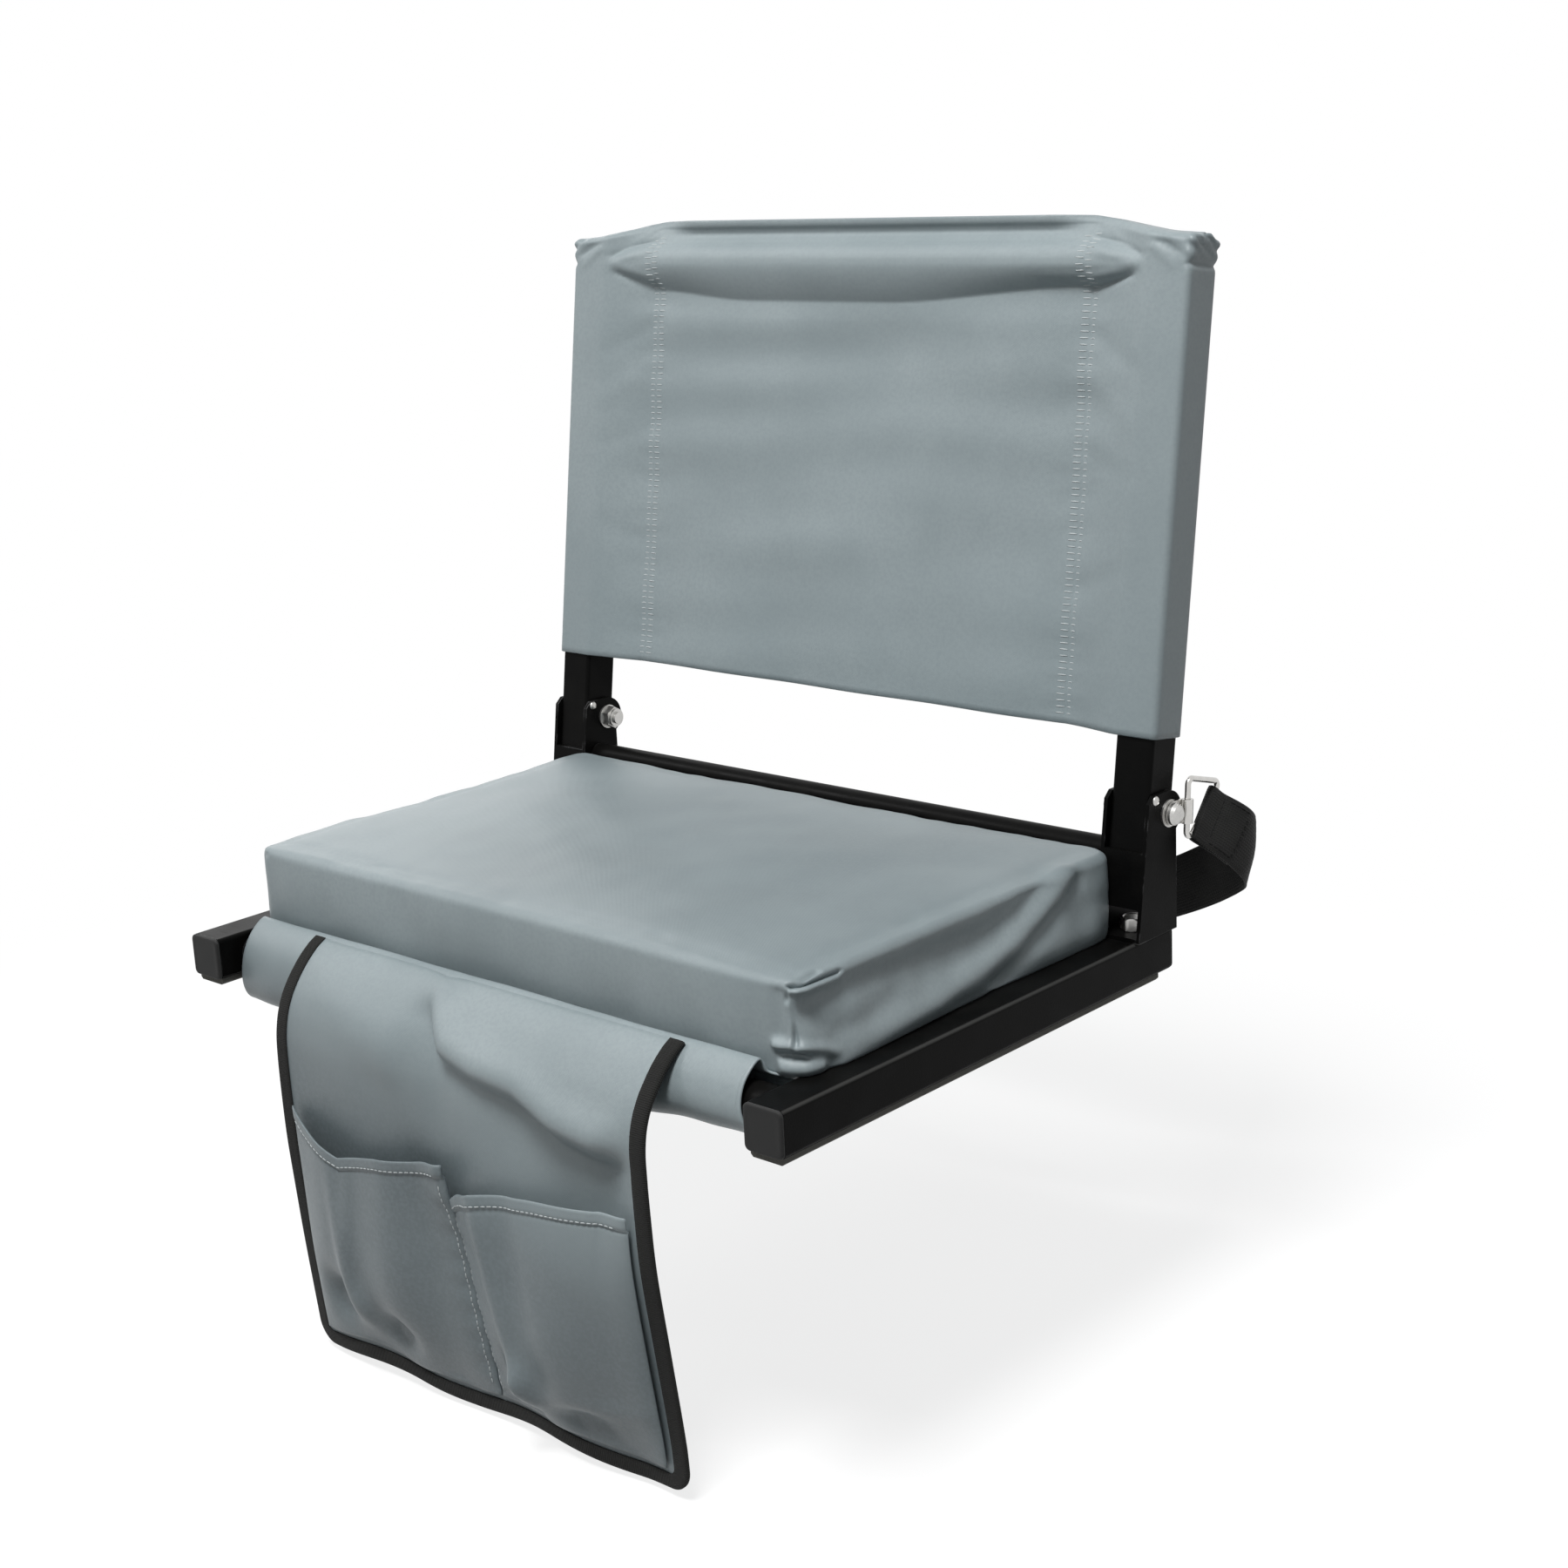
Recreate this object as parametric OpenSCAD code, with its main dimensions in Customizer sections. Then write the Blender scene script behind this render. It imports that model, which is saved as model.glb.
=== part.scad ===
// Folding bleacher seat: steel base frame, reclining sleeve back, box cushion, hanging pocket bag
// X runs to the viewer's right as seen from the front, Y to the back, Z up; millimetres
// The origin lies on the bench, midway between the rails and at half their length

/* [Base frame] */
// Width over both rails
seat_w = 480; // [420:5:540]
// Length of a rail over its end caps
seat_d = 338; // [310:2:380]
// Side of the square tube of the rails and uprights
tube = 25; // [22:1:30]
// Wall of every tube
wall = 1.5; // [1:0.25:2]
// Corner radius of the square tube
tube_r = 2.5; // [2:0.25:4]
// Diameter of the round cross tubes under the seat and in the back
cross_d = 22; // [18:1:24]
// Diameter of the raised bar between the hinge brackets
bar_d = 16; // [12:1:18]
// Thickness of the foot strip under a rail
strip_t = 4; // [3:0.5:8]
// Thickness of a cap's flange
cap_t = 2.5; // [2:0.5:4]

/* [Hinge] */
// Height of the pivot above the rail
pivot_rise = 70; // [66:1:80]
// Distance of the pivot from the rail's rear end
pivot_back = 7.5; // [6:0.5:10]
// Distance of the pivot from the upright's rear face
pivot_edge = 7.5; // [7:0.5:9]
// Lean of the open back from upright, in degrees
recline = 8.4; // [5:0.2:14]
// Length of the upright below its pivot
heel = 48; // [30:1:50]
// Thickness of the bracket's steel
plate_t = 2.5; // [2:0.5:3.5]
// Radius of the ear round the pivot
ear_r = 13; // [11:0.5:15]
// Diameter of the pivot bolt
bolt_d = 8; // [6:0.5:9]

/* [Back] */
// Height of an upright above its pivot
back_h = 317; // [260:1:380]
// Height of the cover's hem above the pivot
hem_u = 43; // [34:1:70]
// Thickness of the joined cloth between the stitch rows
panel_t = 5; // [3:0.5:8]
// Distance of a stitch row from the cover's side
row_in = 79; // [60:1:100]

/* [Seat] */
// Height of the cushion at its edge
cushion_h = 50; // [36:1:52]
// Rise of the cushion's middle above its edge
crown = 6; // [2:0.5:8]
// Thickness of the cushion's cover
cover_t = 1.5; // [1:0.25:2.5]

/* [Bag] */
// Width of the bag
bag_w = 300; // [240:5:340]
// Length of the bag below the seat's underside
bag_drop = 211; // [160:1:260]
// Depth of a pocket at its mouth
pocket_depth = 13; // [10:1:20]
// Width of the binding tape on the bag's face
tape_w = 12; // [8:1:16]

/* [Strap] */
// Width of the carrying strap
strap_w = 35; // [30:1:36]
// Thickness of the strap
strap_t = 2; // [1.4:0.2:2.6]
// Diameter of the ring's wire
wire_d = 3.5; // [3:0.25:4]
// Length of the ring's side in its clip
ring_side = 38; // [34:1:42]

/* [Hidden] */
$fn = 48;

steel_black = [0.07, 0.07, 0.075];
plastic_black = [0.1, 0.1, 0.105];
rubber_black = [0.15, 0.15, 0.155];
zinc = [0.66, 0.65, 0.62];
nickel = [0.76, 0.75, 0.72];
cloth_grey = [0.42, 0.46, 0.48];
tape_black = [0.05, 0.05, 0.055];
webbing_black = [0.06, 0.06, 0.065];
foam_cream = [0.86, 0.84, 0.76];

rail_x = seat_w / 2 - tube / 2;
rail_in = seat_w / 2 - tube;
front_y = -seat_d / 2;
rear_y = seat_d / 2;
rail_top = strip_t + tube;
bore = tube - 2 * wall;
run = 0.05;
slip = 0.2;
near = 0.3;

// The foot strip and its rivets
strip_w = tube - 3;
strip_front = 3;
strip_rear = 13;
strip_chamfer = 1.5;
strip_len = seat_d - strip_front - strip_rear;
rivet_d = 4;
rivet_head_d = 8;
rivet_head_t = 1.5;
rivet_recess = 2;
rivet_tail_t = 2;
rivet_ends = 30;

// The cap's plug inside the tube
plug_len = 11;
plug_wall = 2;

// The cross tubes
cross_z = strip_t + cross_d / 2;
front_tube_y = front_y + 29;
rear_tube_y = rear_y - 38;
bar_y = rear_y - 17;
bar_z = rail_top + 45;

// The hinge bracket, a bent plate on the rail with its web to the front
pivot_y = rear_y - pivot_back;
pivot_z = rail_top + pivot_rise;
side_gap = 0.25;
plate_in = tube / 2 + side_gap;
plate_out = plate_in + plate_t;
face_front = tube - pivot_edge;
web_top = pivot_z - face_front - 1.5;
web_foot = rail_top + 19;
bracket_bolt_d = 8;
bracket_bolt_y = rear_y - 22;
head_af = 13;
head_h = 8;
nut_h = 6.5;

// The pivot's stack, outward from the bracket's outer plate
washer_t = 1.2;
washer_d = bolt_d + 8;
clip_t = 1.5;
stack_gap = 0.1;
clip_x = plate_out + washer_t + stack_gap;
head_x = clip_x + clip_t + stack_gap;
button_d = bolt_d + 5;
button_h = 5.5;
pivot_nut_h = bolt_d;
bush_d = bolt_d + 3;

// The upright's middle in the back's own frame, where the pivot is the origin and Z runs up the tube
up_y = pivot_edge - tube / 2;
plug_t = 2;
top_tube_u = back_h - cross_d / 2 - 1;

// The back's cover
cloth_t = 1.3;
sleeve_half = tube / 2 + near + cloth_t;
cover_x = rail_x + sleeve_half;
sleeve_in = rail_x - sleeve_half;
row_x = cover_x - row_in;
seam_u = back_h + 14;
corner_u = back_h + 3;
wrap_r = cross_d / 2 + near + cloth_t;
crease_u = top_tube_u - wrap_r - 2;
seam_half = 0.8;

// The deck cloth, its front sleeve and its rear loop
deck_x = rail_in - 6;
deck_t = 1.5;
deck_z = cross_z + cross_d / 2 + near;
loop_r = cross_d / 2 + near + deck_t;
sleeve_rise = 6.5;
sleeve_sag = 9;

// The cushion
cushion_z = deck_z + deck_t + near;
cushion_x = rail_in - 2.5;
cushion_front = front_tube_y + 9;
cushion_rear = bar_y - bar_d / 2 - 3;
cushion_y = (cushion_front + cushion_rear) / 2;
cushion_half_y = (cushion_rear - cushion_front) / 2;
pinch = 4;
edge_r = 7;
corner_r = 11;

// The bag, hung from the front sleeve's top
bag_t = 2;
hem_layer = 1.6;
bag_foot = -bag_drop;
bag_corner = 14;
tape_t = 0.9;
left_mouth_z = [-72, -60];
right_mouth_z = [-78, -54];
pocket_gap = 1.5;

// The bag's panel turns forward about the front edge of the yoke's hem
swing_z = -4;
swing_gap = 0.6;

// The strap's rings and their clips, in a frame where X runs from the pivot to the ring
ring_off = bolt_d / 2 + 7.5;
ring_r = 2;
ring_corners = [[0, -ring_side / 2], [34, ring_side / 2 - 7], [0, ring_side / 2]];
barrel_r = wire_d / 2 + slip + clip_t;
barrel_len = 14;
ring_x = clip_x + barrel_r;
right_ring_turn = -4;
left_ring_turn = -42;
loop_bore = wire_d + 2 * slip;
loop_d = loop_bore + 2 * strap_t;
loop_place = [16.5, -4];
loop_lean = 47.6;

// The strap's middle line, from the right ring round the back to the left one. Each point has its share of
// the way out to the rail, its offset from there, its offsets from the pivot, and its width's direction
strap_line = [
    [1, [20, 29.6, -8], [0, 0.784, 0.621]],
    [1, [25, 34.5, -13.7], [0, 0.76, 0.65]],
    [1, [29.5, 40, -19.5], [0, 0.68, 0.73]],
    [1, [31, 46, -25.5], [0, 0.52, 0.85]],
    [1, [29, 53, -31], [0, 0.33, 0.94]],
    [1, [24, 59.5, -36.5], [0, 0.15, 0.99]],
    [1, [16, 65, -43], [0, 0, 1]],
    [1, [5.5, 67.5, -51], [0, 0, 1]],
    [1, [-6.5, 68, -59.5], [0, 0, 1]],
    [1, [-20.5, 64.5, -66.5], [0, 0, 1]],
    [0.85, [0, 58, -71.5], [0, 0, 1]],
    [0.74, [0, 49, -74.5], [0, 0, 1]],
    [0.58, [0, 40, -76.2], [0, 0, 1]],
    [0.37, [0, 33.5, -77.5], [0, 0.05, 1]],
    [0.12, [0, 29.5, -78], [0, 0.2, 0.98]],
    [-0.18, [0, 28.5, -78], [0, 0.45, 0.89]],
    [-0.48, [0, 28.5, -80], [0, 0.7, 0.71]],
    [-0.75, [0, 29, -81], [0, 0.88, 0.47]],
    [-0.945, [0, 29.5, -81], [0, 0.94, 0.342]],
    [-1, [-5.5, 29.5, -80.2], [0, 0.95, 0.3]],
    [-1, [-15.9, 29, -75.5], [0, 0.96, 0.26]],
    [-1, [-20, 27, -65], [0, 0.97, 0.2]],
    [-1, [-20, 23, -49], [0, 0.99, 0.1]],
    [-1, [-20, 18.5, -35], [0, 1, 0]],
    [-1, [-20, 18.1, -30], [0, 1, 0]],
    [-1, [-20, 18.1, -24], [0, 1, 0]]
];

function strap_point(p) = [p[0] * rail_x, pivot_y, pivot_z] + p[1];

strap_steps = 3;

// Round outlines and curves

module round_square(side, r) {
    square([side - 2 * r, side], center = true);
    square([side, side - 2 * r], center = true);
    for (sx = [-1, 1])
        for (sy = [-1, 1])
            translate([sx * (side / 2 - r), sy * (side / 2 - r)])
                circle(r = r);
}

module tube_section() {
    difference() {
        round_square(tube, tube_r);
        round_square(bore, tube_r - wall / 2);
    }
}

// Catmull-Rom point between b and c
function between(a, b, c, d, t) =
    0.5 * (2 * b + (c - a) * t + (2 * a - 5 * b + 4 * c - d) * t * t + (3 * b - a - 3 * c + d) * t * t * t);

// Smooth line through every point of a list, with n steps a stretch
function smooth(p, n) = concat(
    [
        for (i = [0 : len(p) - 2])
            for (k = [0 : n - 1])
                between(p[max(i - 1, 0)], p[i], p[i + 1], p[min(i + 2, len(p) - 1)], k / n)
    ],
    [p[len(p) - 1]]
);

function unit(v) = v / norm(v);

// The line moved to its left by a distance, in the plane
function beside(p, d) = [
    for (i = [0 : len(p) - 1])
        let (
            t = unit(p[min(i + 1, len(p) - 1)] - p[max(i - 1, 0)])
        )
        p[i] + d * [-t[1], t[0]]
];

function reversed(p) = [for (i = [len(p) - 1 : -1 : 0]) p[i]];

function eased(t) =
    let (c = min(max(t, 0), 1))
    c * c * (3 - 2 * c);

// Extrudes an outline of (Y, Z) along X, from the middle out to both sides
module across(half) {
    translate([-half, 0, 0])
        rotate([90, 0, 90])
            linear_extrude(2 * half)
                children();
}

module span(x0, x1) {
    translate([x0, 0, 0])
        rotate([90, 0, 90])
            linear_extrude(x1 - x0)
                children();
}

// Places a child at one side: 1 is the side at +X, -1 its mirror image
module at_side(s) {
    mirror([s < 0 ? 1 : 0, 0, 0])
        translate([rail_x, 0, 0])
            children();
}

module on_back() {
    translate([0, pivot_y, pivot_z])
        rotate([-recline, 0, 0])
            children();
}

module x_rod(x0, x1, d) {
    translate([x0, 0, 0])
        rotate([0, 90, 0])
            cylinder(h = x1 - x0, d = d);
}

// Base frame

module rivet_spots() {
    for (y = [front_y + strip_front + rivet_ends, -strip_rear / 2, rear_y - strip_rear - rivet_ends])
        translate([0, y, 0])
            children();
}

module rail(s) {
    color(steel_black)
        at_side(s)
            difference() {
                translate([0, rear_y - cap_t, strip_t + tube / 2])
                    rotate([90, 0, 0])
                        linear_extrude(seat_d - 2 * cap_t)
                            tube_section();
                translate([0, bracket_bolt_y, rail_top - tube / 2])
                    cylinder(h = tube, d = bracket_bolt_d + 2 * slip);
                rivet_spots()
                    translate([0, 0, strip_t - 1])
                        cylinder(h = wall + 2, d = rivet_d + slip);
            }
}

// A pushed-in cap with its flange at y = 0 and its hollow plug towards +Y
module plug(t) {
    rotate([-90, 0, 0])
        linear_extrude(t)
            round_square(tube, tube_r);
    translate([0, t, 0])
        rotate([-90, 0, 0])
            linear_extrude(plug_len)
                difference() {
                    round_square(bore - slip, tube_r - wall / 2);
                    square(bore - slip - 2 * plug_wall, center = true);
                }
}

module rail_cap(s, end) {
    color(plastic_black)
        at_side(s)
            translate([0, end * seat_d / 2, strip_t + tube / 2])
                rotate([0, 0, end > 0 ? 180 : 0])
                    plug(cap_t);
}

module foot_strip(s) {
    half = strip_w / 2;
    color(rubber_black)
        at_side(s)
            difference() {
                translate([0, front_y + strip_front + strip_len, 0])
                    rotate([90, 0, 0])
                        linear_extrude(strip_len)
                            polygon([
                                [-half, strip_t], [-half, strip_chamfer], [-half + strip_chamfer, 0],
                                [half - strip_chamfer, 0], [half, strip_chamfer], [half, strip_t]
                            ]);
                rivet_spots() {
                    translate([0, 0, -1])
                        cylinder(h = strip_t + 2, d = rivet_d + slip);
                    translate([0, 0, -1])
                        cylinder(h = rivet_recess + 1, d = rivet_head_d + 1);
                }
            }
}

module strip_rivets() {
    color(zinc)
        for (s = [-1, 1])
            at_side(s)
                rivet_spots() {
                    translate([0, 0, rivet_recess - rivet_head_t])
                        cylinder(h = rivet_head_t, d = rivet_head_d);
                    cylinder_up(rivet_recess, strip_t + wall, rivet_d);
                    cylinder_up(strip_t + wall, strip_t + wall + rivet_tail_t, rivet_d + 2.4);
                }
}

module cylinder_up(z0, z1, d) {
    translate([0, 0, z0])
        cylinder(h = z1 - z0, d = d);
}

module cross_tube(y, z, half, d) {
    translate([0, y, z])
        difference() {
            x_rod(-half, half, d);
            x_rod(-half - 1, half + 1, d - 2 * wall);
        }
}

module front_cross_tube() {
    color(steel_black)
        cross_tube(front_tube_y, cross_z, rail_in, cross_d);
}

module rear_deck_tube() {
    color(steel_black)
        cross_tube(rear_tube_y, cross_z, rail_in, cross_d);
}

module rear_cross_bar() {
    color(steel_black)
        cross_tube(bar_y, bar_z, rail_x - plate_out, bar_d);
}

// Hinge brackets

// Y of a line at height z that leans with the open upright, d in front of its face
function leaning(z, d) = pivot_y - (face_front + d) / cos(recline) + (z - pivot_z) * tan(recline);

module bracket_side() {
    d = near + plate_t;
    ear_top = pivot_z + ear_r;
    difference() {
        union() {
            polygon([
                [leaning(rail_top, d), rail_top], [rear_y, rail_top], [rear_y, pivot_z - ear_r / 2],
                [pivot_y, pivot_z], [pivot_y, ear_top], [leaning(ear_top, d) + 4, ear_top],
                [leaning(ear_top - 4, d), ear_top - 4]
            ]);
            translate([pivot_y, pivot_z])
                circle(r = ear_r);
        }
        translate([pivot_y, pivot_z])
            circle(d = bolt_d + slip);
    }
}

module bracket(s) {
    base_front = leaning(rail_top + plate_t, near + plate_t);
    color(steel_black)
        at_side(s)
            difference() {
                union() {
                    for (x = [-plate_out, plate_in])
                        span(x, x + plate_t)
                            bracket_side();
                    across(plate_out) {
                        polygon([
                            [leaning(web_foot, near + plate_t), web_foot], [leaning(web_foot, near), web_foot],
                            [leaning(web_top, near), web_top], [leaning(web_top, near + plate_t), web_top]
                        ]);
                        translate([base_front, rail_top])
                            square([rear_y - base_front, plate_t]);
                    }
                }
                translate([0, bracket_bolt_y, rail_top - 1])
                    cylinder(h = plate_t + 2, d = bracket_bolt_d + 2 * slip);
            }
}

module bracket_bolts() {
    top = rail_top + plate_t;
    color(zinc)
        for (s = [-1, 1])
            at_side(s)
                translate([0, bracket_bolt_y, 0]) {
                    cylinder_up(rail_top - wall - nut_h - 2, top, bracket_bolt_d);
                    translate([0, 0, top])
                        cylinder(h = head_h, d = head_af / cos(30), $fn = 6);
                }
}

module bracket_nuts() {
    color(zinc)
        for (s = [-1, 1])
            at_side(s)
                translate([0, bracket_bolt_y, rail_top - wall - nut_h])
                    difference() {
                        cylinder(h = nut_h, d = head_af / cos(30), $fn = 6);
                        translate([0, 0, -1])
                            cylinder(h = nut_h + 2, d = bracket_bolt_d);
                    }
}

// The pivot's bolt, nut and washers

module pivot_side(s) {
    at_side(s)
        translate([0, pivot_y, pivot_z])
            children();
}

module pivot_bolts() {
    color(zinc)
        for (s = [-1, 1])
            pivot_side(s) {
                x_rod(-plate_out - washer_t - pivot_nut_h - 2, head_x, bolt_d);
                translate([head_x, 0, 0])
                    rotate([0, 90, 0])
                        rotate_extrude()
                            polygon([
                                [0, 0], [button_d / 2, 0], [button_d / 2, 2],
                                [button_d / 2 - 1.2, 4], [button_d / 2 - 3.4, button_h], [0, button_h]
                            ]);
            }
}

module pivot_nuts() {
    color(zinc)
        for (s = [-1, 1])
            pivot_side(s)
                translate([-plate_out - washer_t - pivot_nut_h, 0, 0])
                    rotate([0, 90, 0])
                        difference() {
                            union() {
                                cylinder(h = 2, d = bolt_d + 4);
                                translate([0, 0, 2])
                                    cylinder(h = pivot_nut_h - 2, d = (bolt_d + 5) / cos(30), $fn = 6);
                            }
                            translate([0, 0, -1])
                                cylinder(h = pivot_nut_h + 2, d = bolt_d);
                        }
}

module pivot_washers() {
    color(zinc)
        for (s = [-1, 1])
            pivot_side(s)
                for (x = [-plate_out - washer_t, plate_out])
                    difference() {
                        x_rod(x, x + washer_t, washer_d);
                        x_rod(x - 1, x + washer_t + 1, bolt_d + slip);
                    }
}

// Back frame

module upright(s) {
    color(steel_black)
        on_back()
            at_side(s)
                difference() {
                    translate([0, up_y, plug_t - heel])
                        linear_extrude(back_h + heel - 2 * plug_t)
                            tube_section();
                    x_rod(-tube, tube, bush_d);
                }
}

module pivot_bushes() {
    color(nickel)
        on_back()
            for (s = [-1, 1])
                at_side(s)
                    difference() {
                        x_rod(-tube / 2 - 0.1, tube / 2 + 0.1, bush_d);
                        x_rod(-tube, tube, bolt_d + 2 * run);
                    }
}

module upright_plugs(z, turn) {
    color(plastic_black)
        on_back()
            for (s = [-1, 1])
                at_side(s)
                    translate([0, up_y, z])
                        rotate([turn, 0, 0])
                            plug(plug_t);
}

module top_plugs() {
    upright_plugs(back_h, -90);
}

module heel_plugs() {
    upright_plugs(-heel, 90);
}

module top_cross_tube() {
    color(steel_black)
        on_back()
            cross_tube(up_y, top_tube_u, rail_x - tube / 2, cross_d);
}

// The back's cover: a closed case of cloth, sewn flat between its two sleeves

// Half its depth away from the upright's middle plane at a place (x, u)
function panel_half(x) =
    panel_t / 2 + (sleeve_half - panel_t / 2) * eased((abs(x) - row_x) / (sleeve_in - row_x));

function wrap_half(u) =
    let (
        h = u - top_tube_u,
        above = seam_u - top_tube_u,
        below = top_tube_u - crease_u
    )
    h > wrap_r / 2
        ? max(seam_half, wrap_r * 0.87 * (above - h) / (above - wrap_r / 2))
        : h > -wrap_r / 2
            ? sqrt(wrap_r * wrap_r - h * h)
            : max(0, wrap_r * 0.87 * (below + h) / (below - wrap_r / 2));

// Along the seam the case closes; over an upright it stays deep until just under its corner
function corner_share(x) = eased((abs(x) - row_x) / (sleeve_in - row_x));

function top_of(x) = seam_u - (seam_u - corner_u) * corner_share(x);

function case_half(x, u) =
    let (
        deep = max(panel_half(x), wrap_half(u)),
        closing = max(seam_half, sleeve_half * min(1, (top_of(x) - u) / 2.4)),
        w = corner_share(x)
    )
    u > top_of(x) - 0.01
        ? seam_half
        : (1 - w) * min(deep, max(wrap_half(u), panel_t / 2)) + w * min(sleeve_half, closing);

cover_rows = [
    hem_u, hem_u + 30, hem_u + 80, hem_u + 140, crease_u - 40, crease_u - 12, crease_u, crease_u + 4,
    top_tube_u - 6, top_tube_u - 2, top_tube_u + 3, top_tube_u + 8, back_h, back_h + 1.2
];
cover_columns = [
    -cover_x, -cover_x + 2, -sleeve_in, -sleeve_in + 12, -row_x - 24, -row_x - 10, -row_x,
    -100, -50, 0, 50, 100,
    row_x, row_x + 10, row_x + 24, sleeve_in - 12, sleeve_in, cover_x - 2, cover_x
];

// A row keeps its height in the middle and is drawn down towards the corners near the top
function row_height(k, x) =
    k == len(cover_rows)
        ? top_of(x)
        : min(cover_rows[k], top_of(x) - 0.5 * (len(cover_rows) - k));

function side_round(x) = abs(x) > cover_x - 1 ? 2 : 0;

function case_face(front) = [
    for (k = [0 : len(cover_rows)])
        for (x = cover_columns)
            let (
                u = row_height(k, x),
                h = max(seam_half, case_half(x, u) - side_round(x))
            )
            [x, up_y + (front ? -h : h), u]
];

module cover_case() {
    nx = len(cover_columns);
    nu = len(cover_rows) + 1;
    count = nx * nu;
    front = [
        for (k = [0 : nu - 2])
            for (i = [0 : nx - 2])
                let (a = k * nx + i)
                each [[a, a + nx, a + 1], [a + 1, a + nx, a + nx + 1]]
    ];
    back = [
        for (k = [0 : nu - 2])
            for (i = [0 : nx - 2])
                let (a = count + k * nx + i)
                each [[a, a + 1, a + nx], [a + 1, a + nx + 1, a + nx]]
    ];
    edge = concat(
        [for (i = [0 : nx - 2]) each [[i, i + 1, count + i], [i + 1, count + i + 1, count + i]]],
        [
            for (i = [0 : nx - 2])
                let (a = (nu - 1) * nx + i)
                each [[a, count + a, a + 1], [a + 1, count + a, count + a + 1]]
        ],
        [
            for (k = [0 : nu - 2])
                let (a = k * nx)
                each [[a, count + a, a + nx], [a + nx, count + a, count + a + nx]]
        ],
        [
            for (k = [0 : nu - 2])
                let (a = k * nx + nx - 1)
                each [[a, a + nx, count + a], [a + nx, count + a + nx, count + a]]
        ]
    );
    polyhedron(concat(case_face(true), case_face(false)), concat(front, back, edge));
}

module back_cover() {
    room = tube + 2 * near;
    color(cloth_grey)
        on_back()
            difference() {
                cover_case();
                for (s = [-1, 1])
                    at_side(s)
                        translate([-room / 2, up_y - room / 2, hem_u - 1])
                            cube([room, room, back_h + near - hem_u + 1]);
                translate([0, up_y, top_tube_u])
                    x_rod(-rail_x, rail_x, cross_d + 2 * near);
            }
}

// Seat deck: a sling between the two low cross tubes, with its loose front sleeve
module seat_deck() {
    fy = front_tube_y;
    outline = smooth([
        [fy + 15, deck_z + deck_t], [fy + 9, deck_z + deck_t + 2], [fy + 5, deck_z + sleeve_rise],
        [fy - 2, deck_z + 4], [fy - 9.5, deck_z - 2.5], [fy - 14, cross_z + 2], [fy - 15.5, cross_z - 8],
        [fy - 14, cross_z - 15.5], [fy - 10, cross_z - 21], [fy - 4, -sleeve_sag + 0.5],
        [fy + 3, -sleeve_sag + 0.5], [fy + 9, cross_z - 20], [fy + 13, cross_z - 12], [fy + 14, cross_z],
        [fy + 15, deck_z]
    ], 3);
    color(cloth_grey)
        difference() {
            across(deck_x) {
                difference() {
                    polygon(outline);
                    polygon(beside(outline, deck_t));
                }
                translate([fy + 14, deck_z])
                    square([rear_tube_y - fy - 14, deck_t]);
                translate([rear_tube_y, cross_z])
                    circle(r = loop_r);
            }
            for (y = [fy, rear_tube_y])
                translate([0, y, cross_z])
                    x_rod(-seat_w, seat_w, cross_d + 2 * near);
        }
}

// Box cushion with a crown, rolled edges and sides drawn in between its corners

// Half width of the plan at an angle round it, on a rounded rectangle
function plan_point(a, hx, hy, r) =
    let (
        q = floor(a / 90),
        t = a - 90 * q,
        cx = (q == 0 || q == 3 ? 1 : -1) * (hx - r),
        cy = (q < 2 ? 1 : -1) * (hy - r)
    )
    [cx + r * cos(a), cy + r * sin(a)];

// Extra points along a side, between the round corners, at these shares of its length
side_shares = [0.12, 0.3, 0.5, 0.7, 0.88];

function plan_corner(q, hx, hy, r) = [for (a = [0 : 30 : 90]) plan_point(90 * q + a - (a == 90 ? 0.001 : 0), hx, hy, r)];

function plan_ring(hx, hy, r) = [
    for (q = [0 : 3])
        let (
            here = plan_corner(q, hx, hy, r),
            next = plan_corner((q + 1) % 4, hx, hy, r)
        )
        each concat(here, [for (t = side_shares) here[3] + t * (next[0] - here[3])])
];

// Draws a point in where its side is far from the corners
function drawn(p, hx, hy, by) = [
    p[0] * (1 - by / hx * (1 - pow(p[1] / hy, 2))),
    p[1] * (1 - by / hy * (1 - pow(p[0] / hx, 2)))
];

// Rings from the underside's middle, over the rolled edges, to the crown: [share of size, height, inset]
function cushion_rings(inset) = concat(
    [[0.35, 0, 0], [0.8, 0, 0]],
    [for (a = [0 : 30 : 90]) [1, edge_r * (1 - cos(a)), edge_r * (1 - sin(a)) + 0.8]],
    [[1, cushion_h / 2, 1.5]],
    [for (a = [0 : 30 : 90]) [1, cushion_h - edge_r * (1 - sin(a)), edge_r * (1 - cos(a))]],
    [[0.85, cushion_h, 0], [0.62, cushion_h, 0], [0.38, cushion_h, 0], [0.15, cushion_h, 0]]
);

function cushion_points(inset) = [
    for (r = cushion_rings(inset))
        let (
            hx = (cushion_x - inset - r[2]) * r[0],
            hy = (cushion_half_y - inset - r[2]) * r[0],
            edge = max(1, (corner_r - r[2]) * r[0]),
            z = max(inset, min(r[1], cushion_h - inset))
        )
        each [
            for (p = plan_ring(hx, hy, edge))
                let (
                    d = drawn(p, hx, hy, pinch * r[0]),
                    top = r[1] > cushion_h - edge_r / 2
                        ? crown * (1 - pow(d[0] / cushion_x, 2)) * (1 - pow(d[1] / cushion_half_y, 2))
                        : 0
                )
                [d[0], cushion_y + d[1], cushion_z + z + top]
        ]
];

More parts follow.
